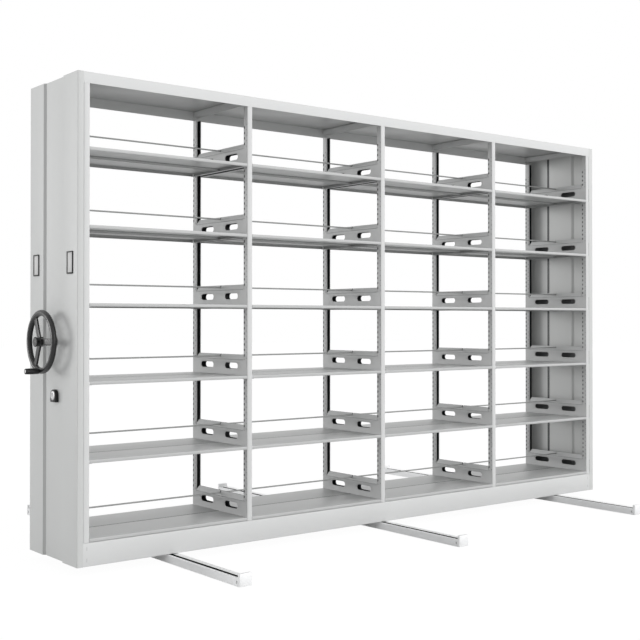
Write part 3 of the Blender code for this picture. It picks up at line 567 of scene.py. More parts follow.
def rows_tree():
    """Copies of the object's own mesh in rows along X, Y and Z."""
    kinds = {"Count": "Int", "Pitch": "Float"}
    counts = [(f"{word} {axis}", kind) for axis in "XYZ" for word, kind in kinds.items()]
    tree = Tree("rows", [*counts, ("Join distance", "Float")])
    points = None
    for axis in "XYZ":
        step = tree.node("ShaderNodeCombineXYZ", None, {axis: tree.given(f"Pitch {axis}")})
        line = tree.node("GeometryNodeMeshLine", {"mode": "OFFSET"},
                         {"Count": tree.given(f"Count {axis}"), "Offset": step})
        if points:
            grown = tree.node("GeometryNodeInstanceOnPoints", None, {"Points": points, "Instance": line})
            line = tree.node("GeometryNodeRealizeInstances", None, {"Geometry": grown})
        points = line
    copies = tree.node("GeometryNodeInstanceOnPoints", None,
                       {"Points": points, "Instance": tree.given("Geometry")})
    real = tree.node("GeometryNodeRealizeInstances", None, {"Geometry": copies})
    return tree.finish(tree.node("GeometryNodeMergeByDistance", None,
                                 {"Geometry": real, "Distance": tree.given("Join distance")}))


rows = rows_tree()


def in_rows(made, material, counts, pitches, join=0.0):
    """Repeat a piece in rows, as one plain mesh."""
    values = {"Join distance": join, "Finish": material}
    for axis, count, pitch in zip("XYZ", counts, pitches):
        values.update({f"Count {axis}": count, f"Pitch {axis}": pitch})
    return rows.apply(made, values)


def turned_out(bm, away):
    """Point the faces of an open sheet along away(middle of the face), before it gets its thickness."""
    bmesh.ops.remove_doubles(bm, verts=bm.verts, dist=1e-6)
    bmesh.ops.recalc_face_normals(bm, faces=bm.faces)
    bm.normal_update()
    if sum(face.calc_area() * face.normal.dot(away(face.calc_center_median())) for face in bm.faces) < 0:
        bmesh.ops.reverse_faces(bm, faces=bm.faces)


def gathered(whole, stretch):
    """Add a piece's mesh to a bmesh, and drop the piece."""
    whole.from_mesh(stretch.data)
    bpy.data.objects.remove(stretch)


def thickened(name, bm, sheet):
    """An open sheet made into a piece, with its thickness behind its faces."""
    return worked(mesh_piece(name, bm, rack_coat, closed=False),
                  ("SOLIDIFY", {"thickness": sheet, "offset": -1.0, "use_even_offset": True}))


def ringed(bm, rings):
    """Close each ring of points with edges. The first is filled up to the others."""
    edges = []
    for ring in rings:
        corners = [bm.verts.new(p) for p in ring]
        edges += [bm.edges.new(pair) for pair in zip(corners, corners[1:] + corners[:1])]
    bmesh.ops.triangle_fill(bm, edges=edges, use_beauty=True, normal=(1, 0, 0))


def upright_stretch(bm, side, z0, tall, openings):
    """A stretch of one upright's outer face at the front (1) or the back (-1)."""
    x, half = frame_xs[0], UPRIGHT_WIDE / 2
    lip_y = rack_front + UPRIGHT_DEEP
    plan = [(x - half + UPRIGHT_LIP, lip_y), (x - half, lip_y), (x - half, rack_front),
            (x + half, rack_front), (x + half, lip_y), (x + half - UPRIGHT_LIP, lip_y)]
    points = [(p.x, depth_middle + side * (p.y - depth_middle))
              for p in bent_faces(plan, UPRIGHT_SHEET, UPRIGHT_BEND)[0]]
    for (x1, y1), (x2, y2) in zip(points, points[1:]):
        corners = [(x1, y1, z0), (x2, y2, z0), (x2, y2, z0 + tall), (x1, y1, z0 + tall)]
        if abs(x1 - x2) < 1e-6 and abs(y1 - y2) > UPRIGHT_DEEP / 2:
            holes = [[(x1, depth_middle + side * (y - depth_middle), z0 + up) for up, y in ring]
                     for ring in openings]
            ringed(bm, [corners] + holes)
        else:
            bm.faces.new([bm.verts.new(p) for p in corners])


def from_upright_axis(middle):
    """Direction from an upright's axis to a point on it."""
    frame_x = frame_xs[0] + round((middle.x - frame_xs[0]) / bay_pitch) * bay_pitch
    front, back = rack_front + UPRIGHT_DEEP / 2, rack_back - UPRIGHT_DEEP / 2
    axis_y = front if middle.y < depth_middle else back
    return Vector((middle.x - frame_x, middle.y - axis_y, 0.0))


def upright_shade(face):
    """Painted shade inside the channel and on the slots' edges, and a little on the outer side walls."""
    if abs(face.normal.z) > 0.5 or face.normal.dot(from_upright_axis(face.center)) < -0.0005:
        return 1.0
    return SIDE_SHADE if abs(face.normal.x) > 0.9 else 0.0


cells_low = base_high.z + SLOT_FROM_BEAM - SLOT_SHARE * HOLE_PITCH
hole_cells = int((upright_high - cells_low) / HOLE_PITCH) - PLAIN_TOP_CELLS
cells_high = cells_low + hole_cells * HOLE_PITCH
slot_y = rack_front + UPRIGHT_DEEP - SLOT_FROM_EDGE
bolt_y = rack_front + BOLT_HOLE_FROM_EDGE
whole = bmesh.new()
for side, slot_at, bolt_at in ((1, slot_y, bolt_y), (-1, bolt_y, slot_y)):
    slot = oblong((SLOT_SHARE * HOLE_PITCH, slot_at), SLOT_TALL_UPRIGHT, SLOT_WIDE_UPRIGHT, steps=3)
    bolt = circle((BOLT_HOLE_SHARE * HOLE_PITCH, bolt_at), BOLT_HOLE_RADIUS, 6)
    for z0, tall, count, openings in ((upright_low, cells_low - upright_low, 1, []),
                                      (cells_low, HOLE_PITCH, hole_cells, [slot, bolt]),
                                      (cells_high, upright_high - cells_high, 1, [])):
        bm = built(upright_stretch, (side, z0, tall, openings))
        turned_out(bm, from_upright_axis)
        stretch = mesh_piece("upright_stretch", bm, rack_coat, closed=False)
        in_rows(stretch, rack_coat, (FRAMES, 1, count), (bay_pitch, 0.0, HOLE_PITCH), join=WELD)
        gathered(whole, stretch)
bmesh.ops.remove_doubles(whole, verts=whole.verts, dist=WELD)
uprights = thickened("slotted_uprights", whole, UPRIGHT_SHEET)
paint_shade(uprights, upright_shade)
soften(uprights)
settle(uprights, "carriage", "front_grey", *side_frames)

# Dark strips behind the slots of each side wall, painted shade all over, so that the slots show dark.
strips = []
for y0, y1 in ((rack_front + UPRIGHT_SHEET, rack_front + UPRIGHT_DEEP - UPRIGHT_SHEET),
               (rack_back - UPRIGHT_DEEP + UPRIGHT_SHEET, rack_back - UPRIGHT_SHEET)):
    for side in (-1, 1):
        x = frame_xs[0] + side * (UPRIGHT_WIDE / 2 - UPRIGHT_SHEET - SHADE_STRIP_GAP)
        strips.append(((x - SHADE_STRIP_HALF, y0 + GAP, upright_low + SHADE_STRIP_GAP),
                       (x + SHADE_STRIP_HALF, y1 - GAP, upright_high - SHADE_STRIP_GAP)))
slot_shade_strips = mesh_piece("upright_stiffeners", built(block, *strips), rack_coat)
in_rows(slot_shade_strips, rack_coat, (FRAMES, 1, 1), (bay_pitch, 0.0, 0.0))
paint_shade(slot_shade_strips, lambda face: 1.0)
settle(slot_shade_strips, "carriage", "front_grey")


# Ties: a folded channel over each pair of uprights, open below. It is welded to their tops and
# carries the ceiling.
TIE_TALL = 0.031
TIE_WIDE = 0.029

ceiling_low, ceiling_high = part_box("ceiling_sheet")
left, right = frame_xs[0] - TIE_WIDE / 2, frame_xs[0] + TIE_WIDE / 2
tie_top = ceiling_low.z - GAP
tie_foot = tie_top - TIE_TALL
tie_path = [(left, tie_foot), (left, tie_top), (right, tie_top), (right, tie_foot)]
tie = (tie_path, -UPRIGHT_SHEET, "Y", rack_front + BEAM_SHEET + GAP, rack_back - BEAM_SHEET - GAP)
ties = mesh_piece("frame_ties", built(bent_sheet, tie), rack_coat)
in_rows(ties, rack_coat, (FRAMES, 1, 1), (bay_pitch, 0.0, 0.0))
settle(ties, "carriage", "front_grey", *side_frames)


# Shelf brackets: 1.2 mm sheet hooked to the uprights' inner walls. A ledge under the boards, two
# oblong hand slots with a pressed rim, a crease, and a top band that leans in over the frame
# with a notch for the stop rod at its middle.
BRACKET_SHEET = 0.0012
BRACKET_IN_WALL = 0.0005
BRACKET_SETBACK = 0.005
BRACKET_LEDGE = 0.015
BRACKET_BEND = 0.080
BRACKET_FOLD = 0.0008
CREASE_DEEP = 0.0024
CREASE_LOW = 0.0030
CREASE_MIDDLE = 0.0005
CREASE_HIGH = 0.0022
# Painted shade at the crease's bottom, and a little on the band.
CREASE_SHADE = 0.5
BAND_TALL = 0.026
BAND_LEAN_GAP = 0.002
BAND_END_CUT = 0.010
BAND_SHADE = 0.12
SLOT_LONG = 0.121
SLOT_TALL = 0.0315
SLOT_UP = 0.0465
SLOT_OFF_MIDDLE = 0.116
RIM_REACH = 0.0020
RIM_DEEP = 0.0022
RIM_STEPS = 4
ROD_UP = 0.095
ROD_RADIUS = 0.004
NOTCH_GAP = 0.0004
BOARD_TALL = 0.016
TIERS = 6

tops = [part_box(f"shelf_bay1_tier{tier}")[1].z for tier in range(1, TIERS + 1)]
tier_pitch = tops[1] - tops[0]
band_edge = UPRIGHT_DEEP + BRACKET_SHEET + GAP


def in_every_bay(made, material):
    """Repeat a piece of the first bay's lowest tier in every bay and tier."""
    return in_rows(made, material, (FRAMES - 1, 1, TIERS), (bay_pitch, 0.0, tier_pitch))


def bracket(bm, x, to_bay, top):
    """One bracket's bay-side face, from the ledge up to the band."""
    face_x = x + to_bay * (UPRIGHT_WIDE / 2 + BRACKET_SHEET - BRACKET_IN_WALL)
    front, back = rack_front + BRACKET_SETBACK, rack_back - BRACKET_SETBACK
    band_front, band_back = rack_front + band_edge, rack_back - band_edge
    ledge_z, bend_z = top - BOARD_TALL - GAP, top + BRACKET_BEND
    lean = UPRIGHT_WIDE / 2 - BAND_LEAN_GAP
    crease = CREASE_DEEP * (CREASE_HIGH + CREASE_MIDDLE) / (BAND_TALL + CREASE_MIDDLE)
    path = [(-BRACKET_LEDGE, ledge_z), (0.0, ledge_z), (0.0, bend_z - CREASE_LOW),
            (CREASE_DEEP, bend_z - CREASE_MIDDLE),
            (lean * CREASE_HIGH / BAND_TALL + crease / 4, bend_z + CREASE_HIGH), (lean, bend_z + BAND_TALL)]
    levels = [(face_x - to_bay * p.x, p.y) for p in bent_faces(path, -BRACKET_SHEET, BRACKET_FOLD)[0]]

    def strips(run, first, last):
        for lower, upper in zip(run, run[1:]):
            corners = zip((lower, lower, upper, upper), (first, last, last, first))
            bm.faces.new([bm.verts.new((x, y, z)) for (x, z), y in corners])

    plate = BEND_STEPS + 1
    strips(levels[:plate + 1], front, back)
    strips(levels[plate + 1:-1], band_front, band_back)
    low_z, crease_z = levels[plate][1], levels[plate + 1][1]
    outline = [(front, low_z), (back, low_z), (back, bend_z), (band_back, bend_z), (band_back, crease_z),
               (band_front, crease_z), (band_front, bend_z), (front, bend_z)]
    slots = []
    for y in (depth_middle - SLOT_OFF_MIDDLE, depth_middle + SLOT_OFF_MIDDLE):
        rings = []
        for i in range(RIM_STEPS + 1):
            turn = math.pi / 2 * i / RIM_STEPS
            grow, sink = 2 * RIM_REACH * (1 - math.sin(turn)), RIM_DEEP * (1 - math.cos(turn))
            ring = oblong((y, top + SLOT_UP), SLOT_LONG + grow, SLOT_TALL + grow, steps=8)
            rings.append([(face_x - to_bay * sink, *spot) for spot in ring])
        slots.append(rings)
    ringed(bm, [[(face_x, *spot) for spot in outline]] + [rings[0] for rings in slots])
    for rings in slots:
        walls(bm, [[bm.verts.new(p) for p in ring] for ring in rings])
    lower, upper = levels[-2], levels[-1]
    notch = ROD_RADIUS + NOTCH_GAP
    notch_z = top + ROD_UP - notch
    share = (notch_z - lower[1]) / (upper[1] - lower[1])
    inner = (lower[0] + (upper[0] - lower[0]) * share, notch_z)
    crest = [(band_back, lower), (band_back - BAND_END_CUT, upper), (depth_middle + notch, upper),
             (depth_middle + notch, inner), (depth_middle - notch, inner), (depth_middle - notch, upper),
             (band_front + BAND_END_CUT, upper), (band_front, lower)]
    corners = [bm.verts.new((level[0], y, level[1])) for y, level in crest]
    for picked in ((0, 1, 2, 3), (0, 3, 4, 7), (4, 5, 6, 7)):
        bm.faces.new([corners[i] for i in picked])


def bracket_shade(face):
    """Painted shade on the side towards the frame and at the bottom of the crease, and a little elsewhere.
    """
    to_bay = 1 if face.center.x < (frame_xs[0] + frame_xs[1]) / 2 else -1
    up = face.center.z - tops[0] - BRACKET_BEND
    if face.normal.x * to_bay < -0.3:
        return 1.0
    if -CREASE_LOW < up < CREASE_HIGH and abs(face.normal.z) > 0.3:
        return CREASE_SHADE
    return SIDE_SHADE if abs(face.normal.x) > 0.97 else BAND_SHADE


whole = bmesh.new()
for x, to_bay in ((frame_xs[0], 1), (frame_xs[1], -1)):
    bm = built(bracket, (x, to_bay, tops[0]))
    turned_out(bm, lambda middle: Vector((to_bay, 0.0, 0.0)))
    gathered(whole, mesh_piece("bracket_face", bm, rack_coat, closed=False))
brackets = thickened("shelf_brackets", whole, BRACKET_SHEET)
paint_shade(brackets, bracket_shade)
in_every_bay(brackets, rack_coat)
settle(brackets, "carriage", "front_grey", *side_frames)


# Shelf boards: two trays of 1.2 mm sheet to a tier, front and back, with a lip folded down and
# returned along the open edge and a web where they meet in a fine seam. Shade is painted into
# the seam.
BOARD_SHEET = 0.0012
BOARD_RETURN = 0.010
SEAM_HALF = 0.0014
SEAM_FOLD = 0.0022
WEB_TALL = 0.0135

shelf_coat = powder_coat("shelf_powder_coat", (0.525, 0.53, 0.525), 0.38)
board_low, board_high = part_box("shelf_bay1_tier1")
lip_low, board_top, seam = board_high.z - BOARD_TALL, board_high.z, depth_middle - SEAM_HALF
tray = [(board_low.y + BOARD_RETURN, lip_low), (board_low.y, lip_low), (board_low.y, board_top),
        (seam, board_top), (seam, board_top - WEB_TALL)]
boards = mesh_piece("shelf_boards", both_sides(tray, BOARD_SHEET, board_low.x, board_high.x), shelf_coat)
# Painted shade along the seam between the trays.
paint_shade(boards, lambda face: abs(face.center.y - depth_middle) < SEAM_HALF + SEAM_FOLD
          and face.center.z > board_top - SEAM_FOLD)
in_every_bay(boards, shelf_coat)
tiers = range(1, TIERS + 1)
settle(boards, "carriage", "shelf_grey",
       *[f"shelf_bay{bay}_tier{tier}" for bay in range(1, FRAMES) for tier in tiers])


# Stop rods: 8 mm rods with chamfered ends, coated in a darker grey. They lie in the notches of
# the brackets' bands, over each board.
ROD_SHORT = 0.0006
ROD_NOSE = 0.0012


def round_bar(start, end, radius, nose):
    """Profile of a round bar with a chamfer at both ends."""
    return [(start, 0.0), (start, radius - nose), (start + nose, radius),
            (end - nose, radius), (end, radius - nose), (end, 0.0)]


rod_coat = powder_coat("rod_powder_coat", (0.38, 0.385, 0.38), 0.42)
rod = round_bar(frame_xs[0] + ROD_SHORT, frame_xs[1] - ROD_SHORT, ROD_RADIUS, ROD_NOSE)
rod_place = (depth_middle, middle_of("stop_rod_tier_1")[1])
rods = mesh_piece("stop_rods", built(lathe, (rod, rod_place, 16)), rod_coat)
in_every_bay(rods, rod_coat)
settle(rods, "carriage", "front_grey", *[f"stop_rod_tier_{tier}" for tier in tiers])


# Top: a fascia beam at the front and the back, folded over at the top, and flat ceiling sheets
# that lie on the ties with a joint over each frame.
SHEET_JOINT = 0.0005
CEILING_EDGE = 0.0004

top_low, top_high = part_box("top_beam_front")
fascia = [(top_low.y, top_low.z), (top_low.y, top_high.z), (top_high.y, top_high.z)]
fascias = mesh_piece("top_fascia_beams", both_sides(fascia, BEAM_SHEET, top_low.x, top_high.x), rack_coat)
settle(fascias, "carriage", "front_grey", "top_beam_front", "top_beam_back")

cuts = [ceiling_low.x] + frame_xs[1:-1] + [ceiling_high.x]
sheets = [((start + SHEET_JOINT, ceiling_low.y, ceiling_low.z),
           (end - SHEET_JOINT, ceiling_high.y, ceiling_high.z)) for start, end in zip(cuts, cuts[1:])]
ceiling = mesh_piece("ceiling_sheets", built(block, *sheets), shelf_coat)
softened_edges(ceiling, CEILING_EDGE)
settle(ceiling, "carriage", "shelf_grey", "ceiling_sheet")


# End panels: 1.2 mm sheet folded to two raised bands and a recess, with returns to the rack's
# front and back and a flange that closes the top. Shade is painted behind the brackets, on the
# rear bevel and, inside, along its fold.
PANEL_SHEET = 0.0012
PANEL_BAND = 0.155
PANEL_BEVEL = 0.014
PANEL_RECESS = 0.0105
PANEL_BEND = 0.0018
CAP_SINK = 0.0005
BEHIND_BRACKET = (-0.010, 0.076)
# Painted shade behind the brackets, on the rear bevel and past its fold.
BEHIND_SHADE = 0.85
BEVEL_SHADE = 0.25             # on the rear bevel, outside
FOLD_SHADE = 0.013            # reach of the painted shade past the rear bevel, inside
BEARING_HOLE = 0.0163
LOCK_HOLE = 0.0103
HOLE_REACH = (-0.004, 0.006)

panel_coat = powder_coat("panel_powder_coat", (0.62, 0.627, 0.617), 0.42)
recess_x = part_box("end_panel_drive")[0].x + PANEL_RECESS
flange_low, flange_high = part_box("shaft_flange")
shaft_place = middle_of("shaft_flange")
lock_low, lock_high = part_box("lock_housing")
lock_radius = (lock_high.y - lock_low.y) / 2
lock_place = (middle_of("lock_housing")[0], lock_high.z - lock_radius)


def panel_shade(face):
    """Painted shade: outside on the rear bevel; inside on its fold and behind the brackets."""
    to_bay = 1.0 if face.center.x < 0.0 else -1.0
    from_fold = face.center.y - (rack_back - PANEL_BAND)
    if face.normal.x * to_bay < 0.5:
        return BEVEL_SHADE if -PANEL_BEVEL < from_fold < 0.0 else 0.0
    low_up, high_up = BEHIND_BRACKET
    if any(low_up < face.center.z - top < high_up for top in tops):
        return BEHIND_SHADE
    return 1.0 if -PANEL_BEVEL < from_fold < FOLD_SHADE else 0.0


def end_panel(name, node, out, holes):
    """The folded wall and its top flange. The panel faces out along X, and its holes are round."""
    low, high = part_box(node)
    outer_x, inner_x = (low.x, high.x) if out < 0 else (high.x, low.x)
    recess, first, second = outer_x - out * PANEL_RECESS, rack_front + PANEL_BAND, rack_back - PANEL_BAND
    path = [(inner_x, rack_front), (outer_x, rack_front), (outer_x, first), (recess, first + PANEL_BEVEL),
            (recess, second - PANEL_BEVEL), (outer_x, second), (outer_x, rack_back), (inner_x, rack_back)]
    bm = built(bent_sheet, (path, out * PANEL_SHEET, "Z", low.z, high.z, PANEL_BEND))
    cuts = [((0.0, second + FOLD_SHADE, 0.0), (0.0, 1.0, 0.0))]
    cuts += [((0.0, 0.0, top + up), (0.0, 0.0, 1.0)) for top in tops for up in BEHIND_BRACKET]
    for place, across in cuts:
        geometry = bm.verts[:] + bm.edges[:] + bm.faces[:]
        bmesh.ops.bisect_plane(bm, geom=geometry, plane_co=place, plane_no=across)
    wall = mesh_piece(name, bm, panel_coat)
    if holes:
        ends = [recess + reach for reach in HOLE_REACH]
        cut_out(wall, built(prism, *[(circle(centre, radius, 40), "X", ends) for centre, radius in holes]))
    paint_shade(wall, panel_shade)
    settle(wall, "carriage", "panel_grey", node)
    inside = [(p.x, p.y) for p in bent_faces(path, out * PANEL_SHEET, PANEL_BEND)[1]]
    cap = built(prism, (inside, "Z", (high.z - CAP_SINK - PANEL_SHEET, high.z - CAP_SINK)))
    settle(mesh_piece(f"{name}_cap", cap, panel_coat), "carriage", "panel_grey", node)


end_panel("far_end_panel", "end_panel_far", 1, [])
end_panel("drive_end_panel", "end_panel_drive", -1, [(shaft_place, BEARING_HOLE), (lock_place, LOCK_HOLE)])


# Wheelsets: turned steel axles with three flanged wheels each. The flange runs in the rail's
# groove, and the tread on the rail's wider side.
WHEEL_RADIUS = 0.050
WHEEL_FLANGE_RADIUS = 0.057
WHEEL_HUB_RADIUS = 0.020
WHEEL_RIM_THICK = 0.010
DISH_DEEP = 0.006
DISH_SLOPE = 0.003
WHEEL_STEPS = 72
EDGE_BREAK = 0.001


def shades(level, dark, light):
    """Two tints about a level."""
    return [tuple(level * share for share in tint) for tint in (dark, light)]


def turned_steel(name, level, roughness):
    """Machined steel: fine rings round the axis show as brushed streaks."""
    return worn(name, shades(level, (0.85, 0.85, 0.86), (1.1, 1.1, 1.1)), roughness, 0.12,
                patches=(260.0, 3.0, (1.0, 0.08, 0.08)), relief=(0.00005, 0.3), metallic=1.0)


def wheel(x):
    """Profile of a wheel whose flange is at x: hub, flange, tread and dished side."""
    left, right = x - WHEEL_FLANGE_HALF, x + WHEEL_FLANGE_HALF
    near, far = left - WHEEL_HUB_LONG, right + TREAD_LONG
    rim_inner, bed = WHEEL_RADIUS - WHEEL_RIM_THICK, far - DISH_DEEP
    return [(near, AXLE_RADIUS), (near, WHEEL_HUB_RADIUS - EDGE_BREAK),
            (near + EDGE_BREAK, WHEEL_HUB_RADIUS), (left, WHEEL_HUB_RADIUS),
            (left, WHEEL_FLANGE_RADIUS - 2 * EDGE_BREAK),
            (left + EDGE_BREAK, WHEEL_FLANGE_RADIUS), (right - 2 * EDGE_BREAK, WHEEL_FLANGE_RADIUS),
            (right, WHEEL_RADIUS + EDGE_BREAK), (right + EDGE_BREAK, WHEEL_RADIUS),
            (far - EDGE_BREAK, WHEEL_RADIUS), (far, WHEEL_RADIUS - EDGE_BREAK), (far, rim_inner),
            (bed, rim_inner - DISH_SLOPE), (bed, WHEEL_HUB_RADIUS + DISH_SLOPE), (far, WHEEL_HUB_RADIUS),
            (far, AXLE_RADIUS)]


wheel_steel = turned_steel("wheel_steel", 0.34, 0.36)
for name, node, body in (("driven_wheelset", "drive_wheelset", "drive_wheels"),
                         ("idling_wheelset", "idler_wheelset", "idler_wheels")):
    low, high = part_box(node)
    axle = round_bar(low.x, high.x, AXLE_RADIUS, EDGE_BREAK)
    profile = axle[:3] + [point for x in groove_xs for point in wheel(x)] + axle[3:]
    wheelset = built(lathe, (profile, axle_places[node], WHEEL_STEPS))
    settle(mesh_piece(name, wheelset, wheel_steel), body, "groove_steel", node)


# Chain drive: a roller chain from the handwheel's 12-tooth sprocket down to the 20-tooth one on
# the driven axle, inside the drive-end panel.
CHAIN_PITCH = 0.0127
ROLLER_RADIUS = 0.0036
PLATE_TALL = 0.0072
LINK_PLATE = 0.0009
INNER_GAP = 0.0034
SMALL_TEETH = 12
LARGE_TEETH = 20
TOOTH_STEPS = 8
TOOTH_RISE = 0.0022
SEAT_SHARE = 0.95             # how deep a roller sits, as a share of its radius
SPROCKET_HALF = 0.0014
SPROCKET_CHAMFER = 0.0006
ROUTE_STEPS = 24

chain_x = sum(corner.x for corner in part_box("drive_chain")) / 2
axle_place = axle_places["drive_wheelset"]


def pitch_radius(teeth):
    """Radius on which a chain's rollers sit."""
    return CHAIN_PITCH / (2 * math.sin(math.pi / teeth))


def sprocket(bm, teeth, centre):
    """A toothed disc: roller seats between rounded teeth."""
    y, z = centre
    turns = [math.tau * i / (teeth * TOOTH_STEPS) for i in range(teeth * TOOTH_STEPS)]
    seat = pitch_radius(teeth) - ROLLER_RADIUS * SEAT_SHARE
    rim = [seat + TOOTH_RISE * (1 + math.cos(teeth * t)) for t in turns]
    small = [radius - SPROCKET_CHAMFER for radius in rim]
    bore = [AXLE_BORE] * len(turns)
    rings = [[bm.verts.new((chain_x + SPROCKET_HALF * way, y + r * math.cos(t), z + r * math.sin(t)))
              for r, t in zip(radii, turns)]
             for way, radii in ((-1, small), (-0.5, rim), (0.5, rim), (1, small), (1, bore), (-1, bore))]
    walls(bm, rings + rings[:1])


def chain_route():
    """The chain's pitch line, arcs over both sprockets and their tangents, as a curve, and its length."""
    top, bottom = Vector(shaft_place), Vector(axle_place)
    small, large = pitch_radius(SMALL_TEETH), pitch_radius(LARGE_TEETH)
    along = math.degrees(math.atan2(bottom.y - top.y, bottom.x - top.x))
    spread = math.degrees(math.acos((small - large) / (bottom - top).length))
    spots = arc(top, small, along + spread, along + 360 - spread, ROUTE_STEPS)
    spots += arc(bottom, large, along - spread, along + spread, ROUTE_STEPS)
    curve = bpy.data.curves.new("chain_route", "CURVE")
    curve.dimensions = "3D"
    spline = curve.splines.new("POLY")
    spline.points.add(len(spots) - 1)
    for point, spot in zip(spline.points, spots):
        point.co = (chain_x, *spot, 1.0)
    spline.use_cyclic_u = True
    return placed("chain_route", curve), sum(math.dist(a, b) for a, b in zip(spots, spots[1:] + spots[:1]))


def links_tree():
    """Copies of the object's own mesh along a route, turned to follow it."""
    tree = Tree("links_on_route", [("Route", "Object"), ("Count", "Int")])
    route = tree.node("GeometryNodeObjectInfo", None, {"Object": tree.given("Route")}, output="Geometry")
    points = tree.node("GeometryNodeCurveToPoints", {"mode": "COUNT"},
                       {"Curve": route, "Count": tree.given("Count")}, output="Points")
    tangent = Mask(tree, points.socket.node.outputs["Tangent"])
    turn = tree.node("FunctionNodeAlignRotationToVector", {"axis": "Z", "pivot_axis": "X"},
                     {"Vector": tangent})
    return tree.finish(tree.node("GeometryNodeInstanceOnPoints", None,
                                 {"Points": points, "Instance": tree.given("Geometry"), "Rotation": turn}))


for name, teeth, place, body, node in (
        ("axle_sprocket_20", LARGE_TEETH, axle_place, "drive_wheels", "axle_sprocket"),
        ("shaft_sprocket_12", SMALL_TEETH, shaft_place, "handwheel", "shaft_sprocket")):
    settle(mesh_piece(name, built(sprocket, (teeth, place)), wheel_steel), body, "groove_steel", node)

half = INNER_GAP / 2
link_parts = [(circle((0.0, z), ROLLER_RADIUS, 10), "X", (-half, half))
              for z in (-CHAIN_PITCH / 2, CHAIN_PITCH / 2)]
for z, reach in ((0.0, half), (CHAIN_PITCH, half + LINK_PLATE)):
    plate = upright_oblong((0.0, z), CHAIN_PITCH + PLATE_TALL, PLATE_TALL, steps=5)
    link_parts += [(plate, "X", (side * reach, side * (reach + LINK_PLATE))) for side in (-1, 1)]
route, route_long = chain_route()
chain = mesh_piece("roller_chain", built(prism, *link_parts), oiled_steel)
link_pairs = round(route_long / (2 * CHAIN_PITCH))
links_tree().apply(chain, {"Route": route, "Count": link_pairs, "Finish": oiled_steel})
bpy.data.objects.remove(route)
settle(chain, "carriage", "groove_steel", "drive_chain")


# Handwheel: one black casting of rim, three dished spokes and hub, blended at every joint and
# lacquered to a low sheen. A wider cap closes the hub's outer end, and the shaft's end is let
# into the hub from behind.
RIM_HALF_WIDE = 0.0133
RIM_HALF_TALL = 0.0148
RIM_RADIUS_GAP = 0.015
RIM_FROM_BACK = 0.0135
RIM_SQUARE = 0.8              # exponent of a section: 1 is an oval, 0 a rectangle
SPOKE_SQUARE = 0.35
SECTION_POINTS = 24
HUB_NECK = 0.0205
HUB_CAP = 0.024
HUB_CAP_LONG = 0.006
HUB_LONG = 0.040
HUB_BEVEL = 0.0012
SPOKES = 3
SPOKE_STEPS = 18
SPOKE_WIDE_HUB = 0.036
SPOKE_WIDE_RIM = 0.031
SPOKE_THICK = 0.010
SPOKE_ROOT_BACK = 0.028
SPOKE_IN_HUB = 0.006
SPOKE_IN_RIM = 0.002
STUD_BORE = 0.0043
STUD_REACH = (0.020, 0.0004)  # ends of the stud's hole: before the rim's middle, past the stud
SHAFT_REACH = (0.0177, 0.043) # ends of the shaft's hole, from the hub's face
CAST_VOXEL = 0.0014
CAP_FACE = [(0.0002, 0.0), (0.0002, 0.0075), (0.0006, 0.0085), (0.0006, 0.0195), (0.0, 0.0203),
            (0.0, 0.0218), (0.0010, 0.0228), (0.004, 0.0228), (0.004, 0.0)]      # (from the face, radius)


def black_casting(name, level, roughness, skin, specular):
    """Moulded black surface: fine leather-like skin, worn smoother in slow patches."""
    return worn(name, shades(level, (0.8, 0.8, 0.82), (1.25, 1.25, 1.28)), roughness, 0.12,
                patches=(18.0, 3.0), skin=(skin,), relief=(0.00015, 0.3), specular=specular)


def squarish(*exponents):
    """Points of a section between an oval and a rectangle, in parts of its half sizes."""
    spots = circle((0.0, 0.0), 1.0, SECTION_POINTS)
    return [[math.copysign(abs(value) ** power, value) for value, power in zip(spot, exponents)]
            for spot in spots]


def spoke(bm, angle):
    """One spoke: wide at the hub, swept down to the rim, with flat faces and rounded edges."""
    away = Vector((math.cos(angle), math.sin(angle)))
    across = Vector((-away.y, away.x))
    root_x = hub_face + SPOKE_ROOT_BACK
    start, end = HUB_NECK - SPOKE_IN_HUB, rim_radius - SPOKE_IN_RIM
    rings = []
    for i in range(SPOKE_STEPS + 1):
        share = i / SPOKE_STEPS
        x = root_x + (rim_x - root_x) * share * share * (3 - 2 * share)
        middle = Vector(shaft_place) + away * (start + (end - start) * share)
        half = (SPOKE_WIDE_HUB + (SPOKE_WIDE_RIM - SPOKE_WIDE_HUB) * share) / 2
        rings.append([(x + up * SPOKE_THICK / 2, *(middle + across * out * half))
                      for out, up in squarish(SPOKE_SQUARE, SPOKE_SQUARE)])
    stacked(bm, rings)


wheel_black = black_casting("handwheel_black", 0.014, 0.27, 700.0, 0.45)
wheel_low, wheel_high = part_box("handwheel")
rim_x, hub_face = wheel_high.x - RIM_FROM_BACK, wheel_low.x
rim_radius = (wheel_high.z - wheel_low.z) / 2 - RIM_RADIUS_GAP
spindle_low, spindle_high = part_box("crank_spindle")
spindle_place = middle_of("crank_spindle")
rim = [(rim_x + RIM_HALF_WIDE * wide, rim_radius + RIM_HALF_TALL * tall)
       for wide, tall in squarish(RIM_SQUARE, 1.0)]
hub_start, cap_end, hub_end = hub_face + GAP, hub_face + HUB_CAP_LONG, hub_face + HUB_LONG
hub = [(hub_start, 0.0), (hub_start, HUB_CAP - HUB_BEVEL), (hub_start + HUB_BEVEL, HUB_CAP),
       (cap_end, HUB_CAP), (cap_end + EDGE_BREAK, HUB_NECK), (hub_face + SPOKE_ROOT_BACK, HUB_NECK),
       (hub_end, HUB_CAP), (hub_end, 0.0)]
bm = built(lathe, (rim, shaft_place, 96, True), (hub, shaft_place, 64))
for number in range(SPOKES):
    spoke(bm, math.pi + math.tau * number / SPOKES)
casting = worked(mesh_piece("cast_handwheel", bm, wheel_black),
                 ("REMESH", {"mode": "VOXEL", "voxel_size": CAST_VOXEL}),
                 ("SMOOTH", {"factor": 0.5, "iterations": 5}))
stud_ends = (rim_x - STUD_REACH[0], spindle_high.x + STUD_REACH[1])
shaft_ends = [hub_face + reach for reach in SHAFT_REACH]
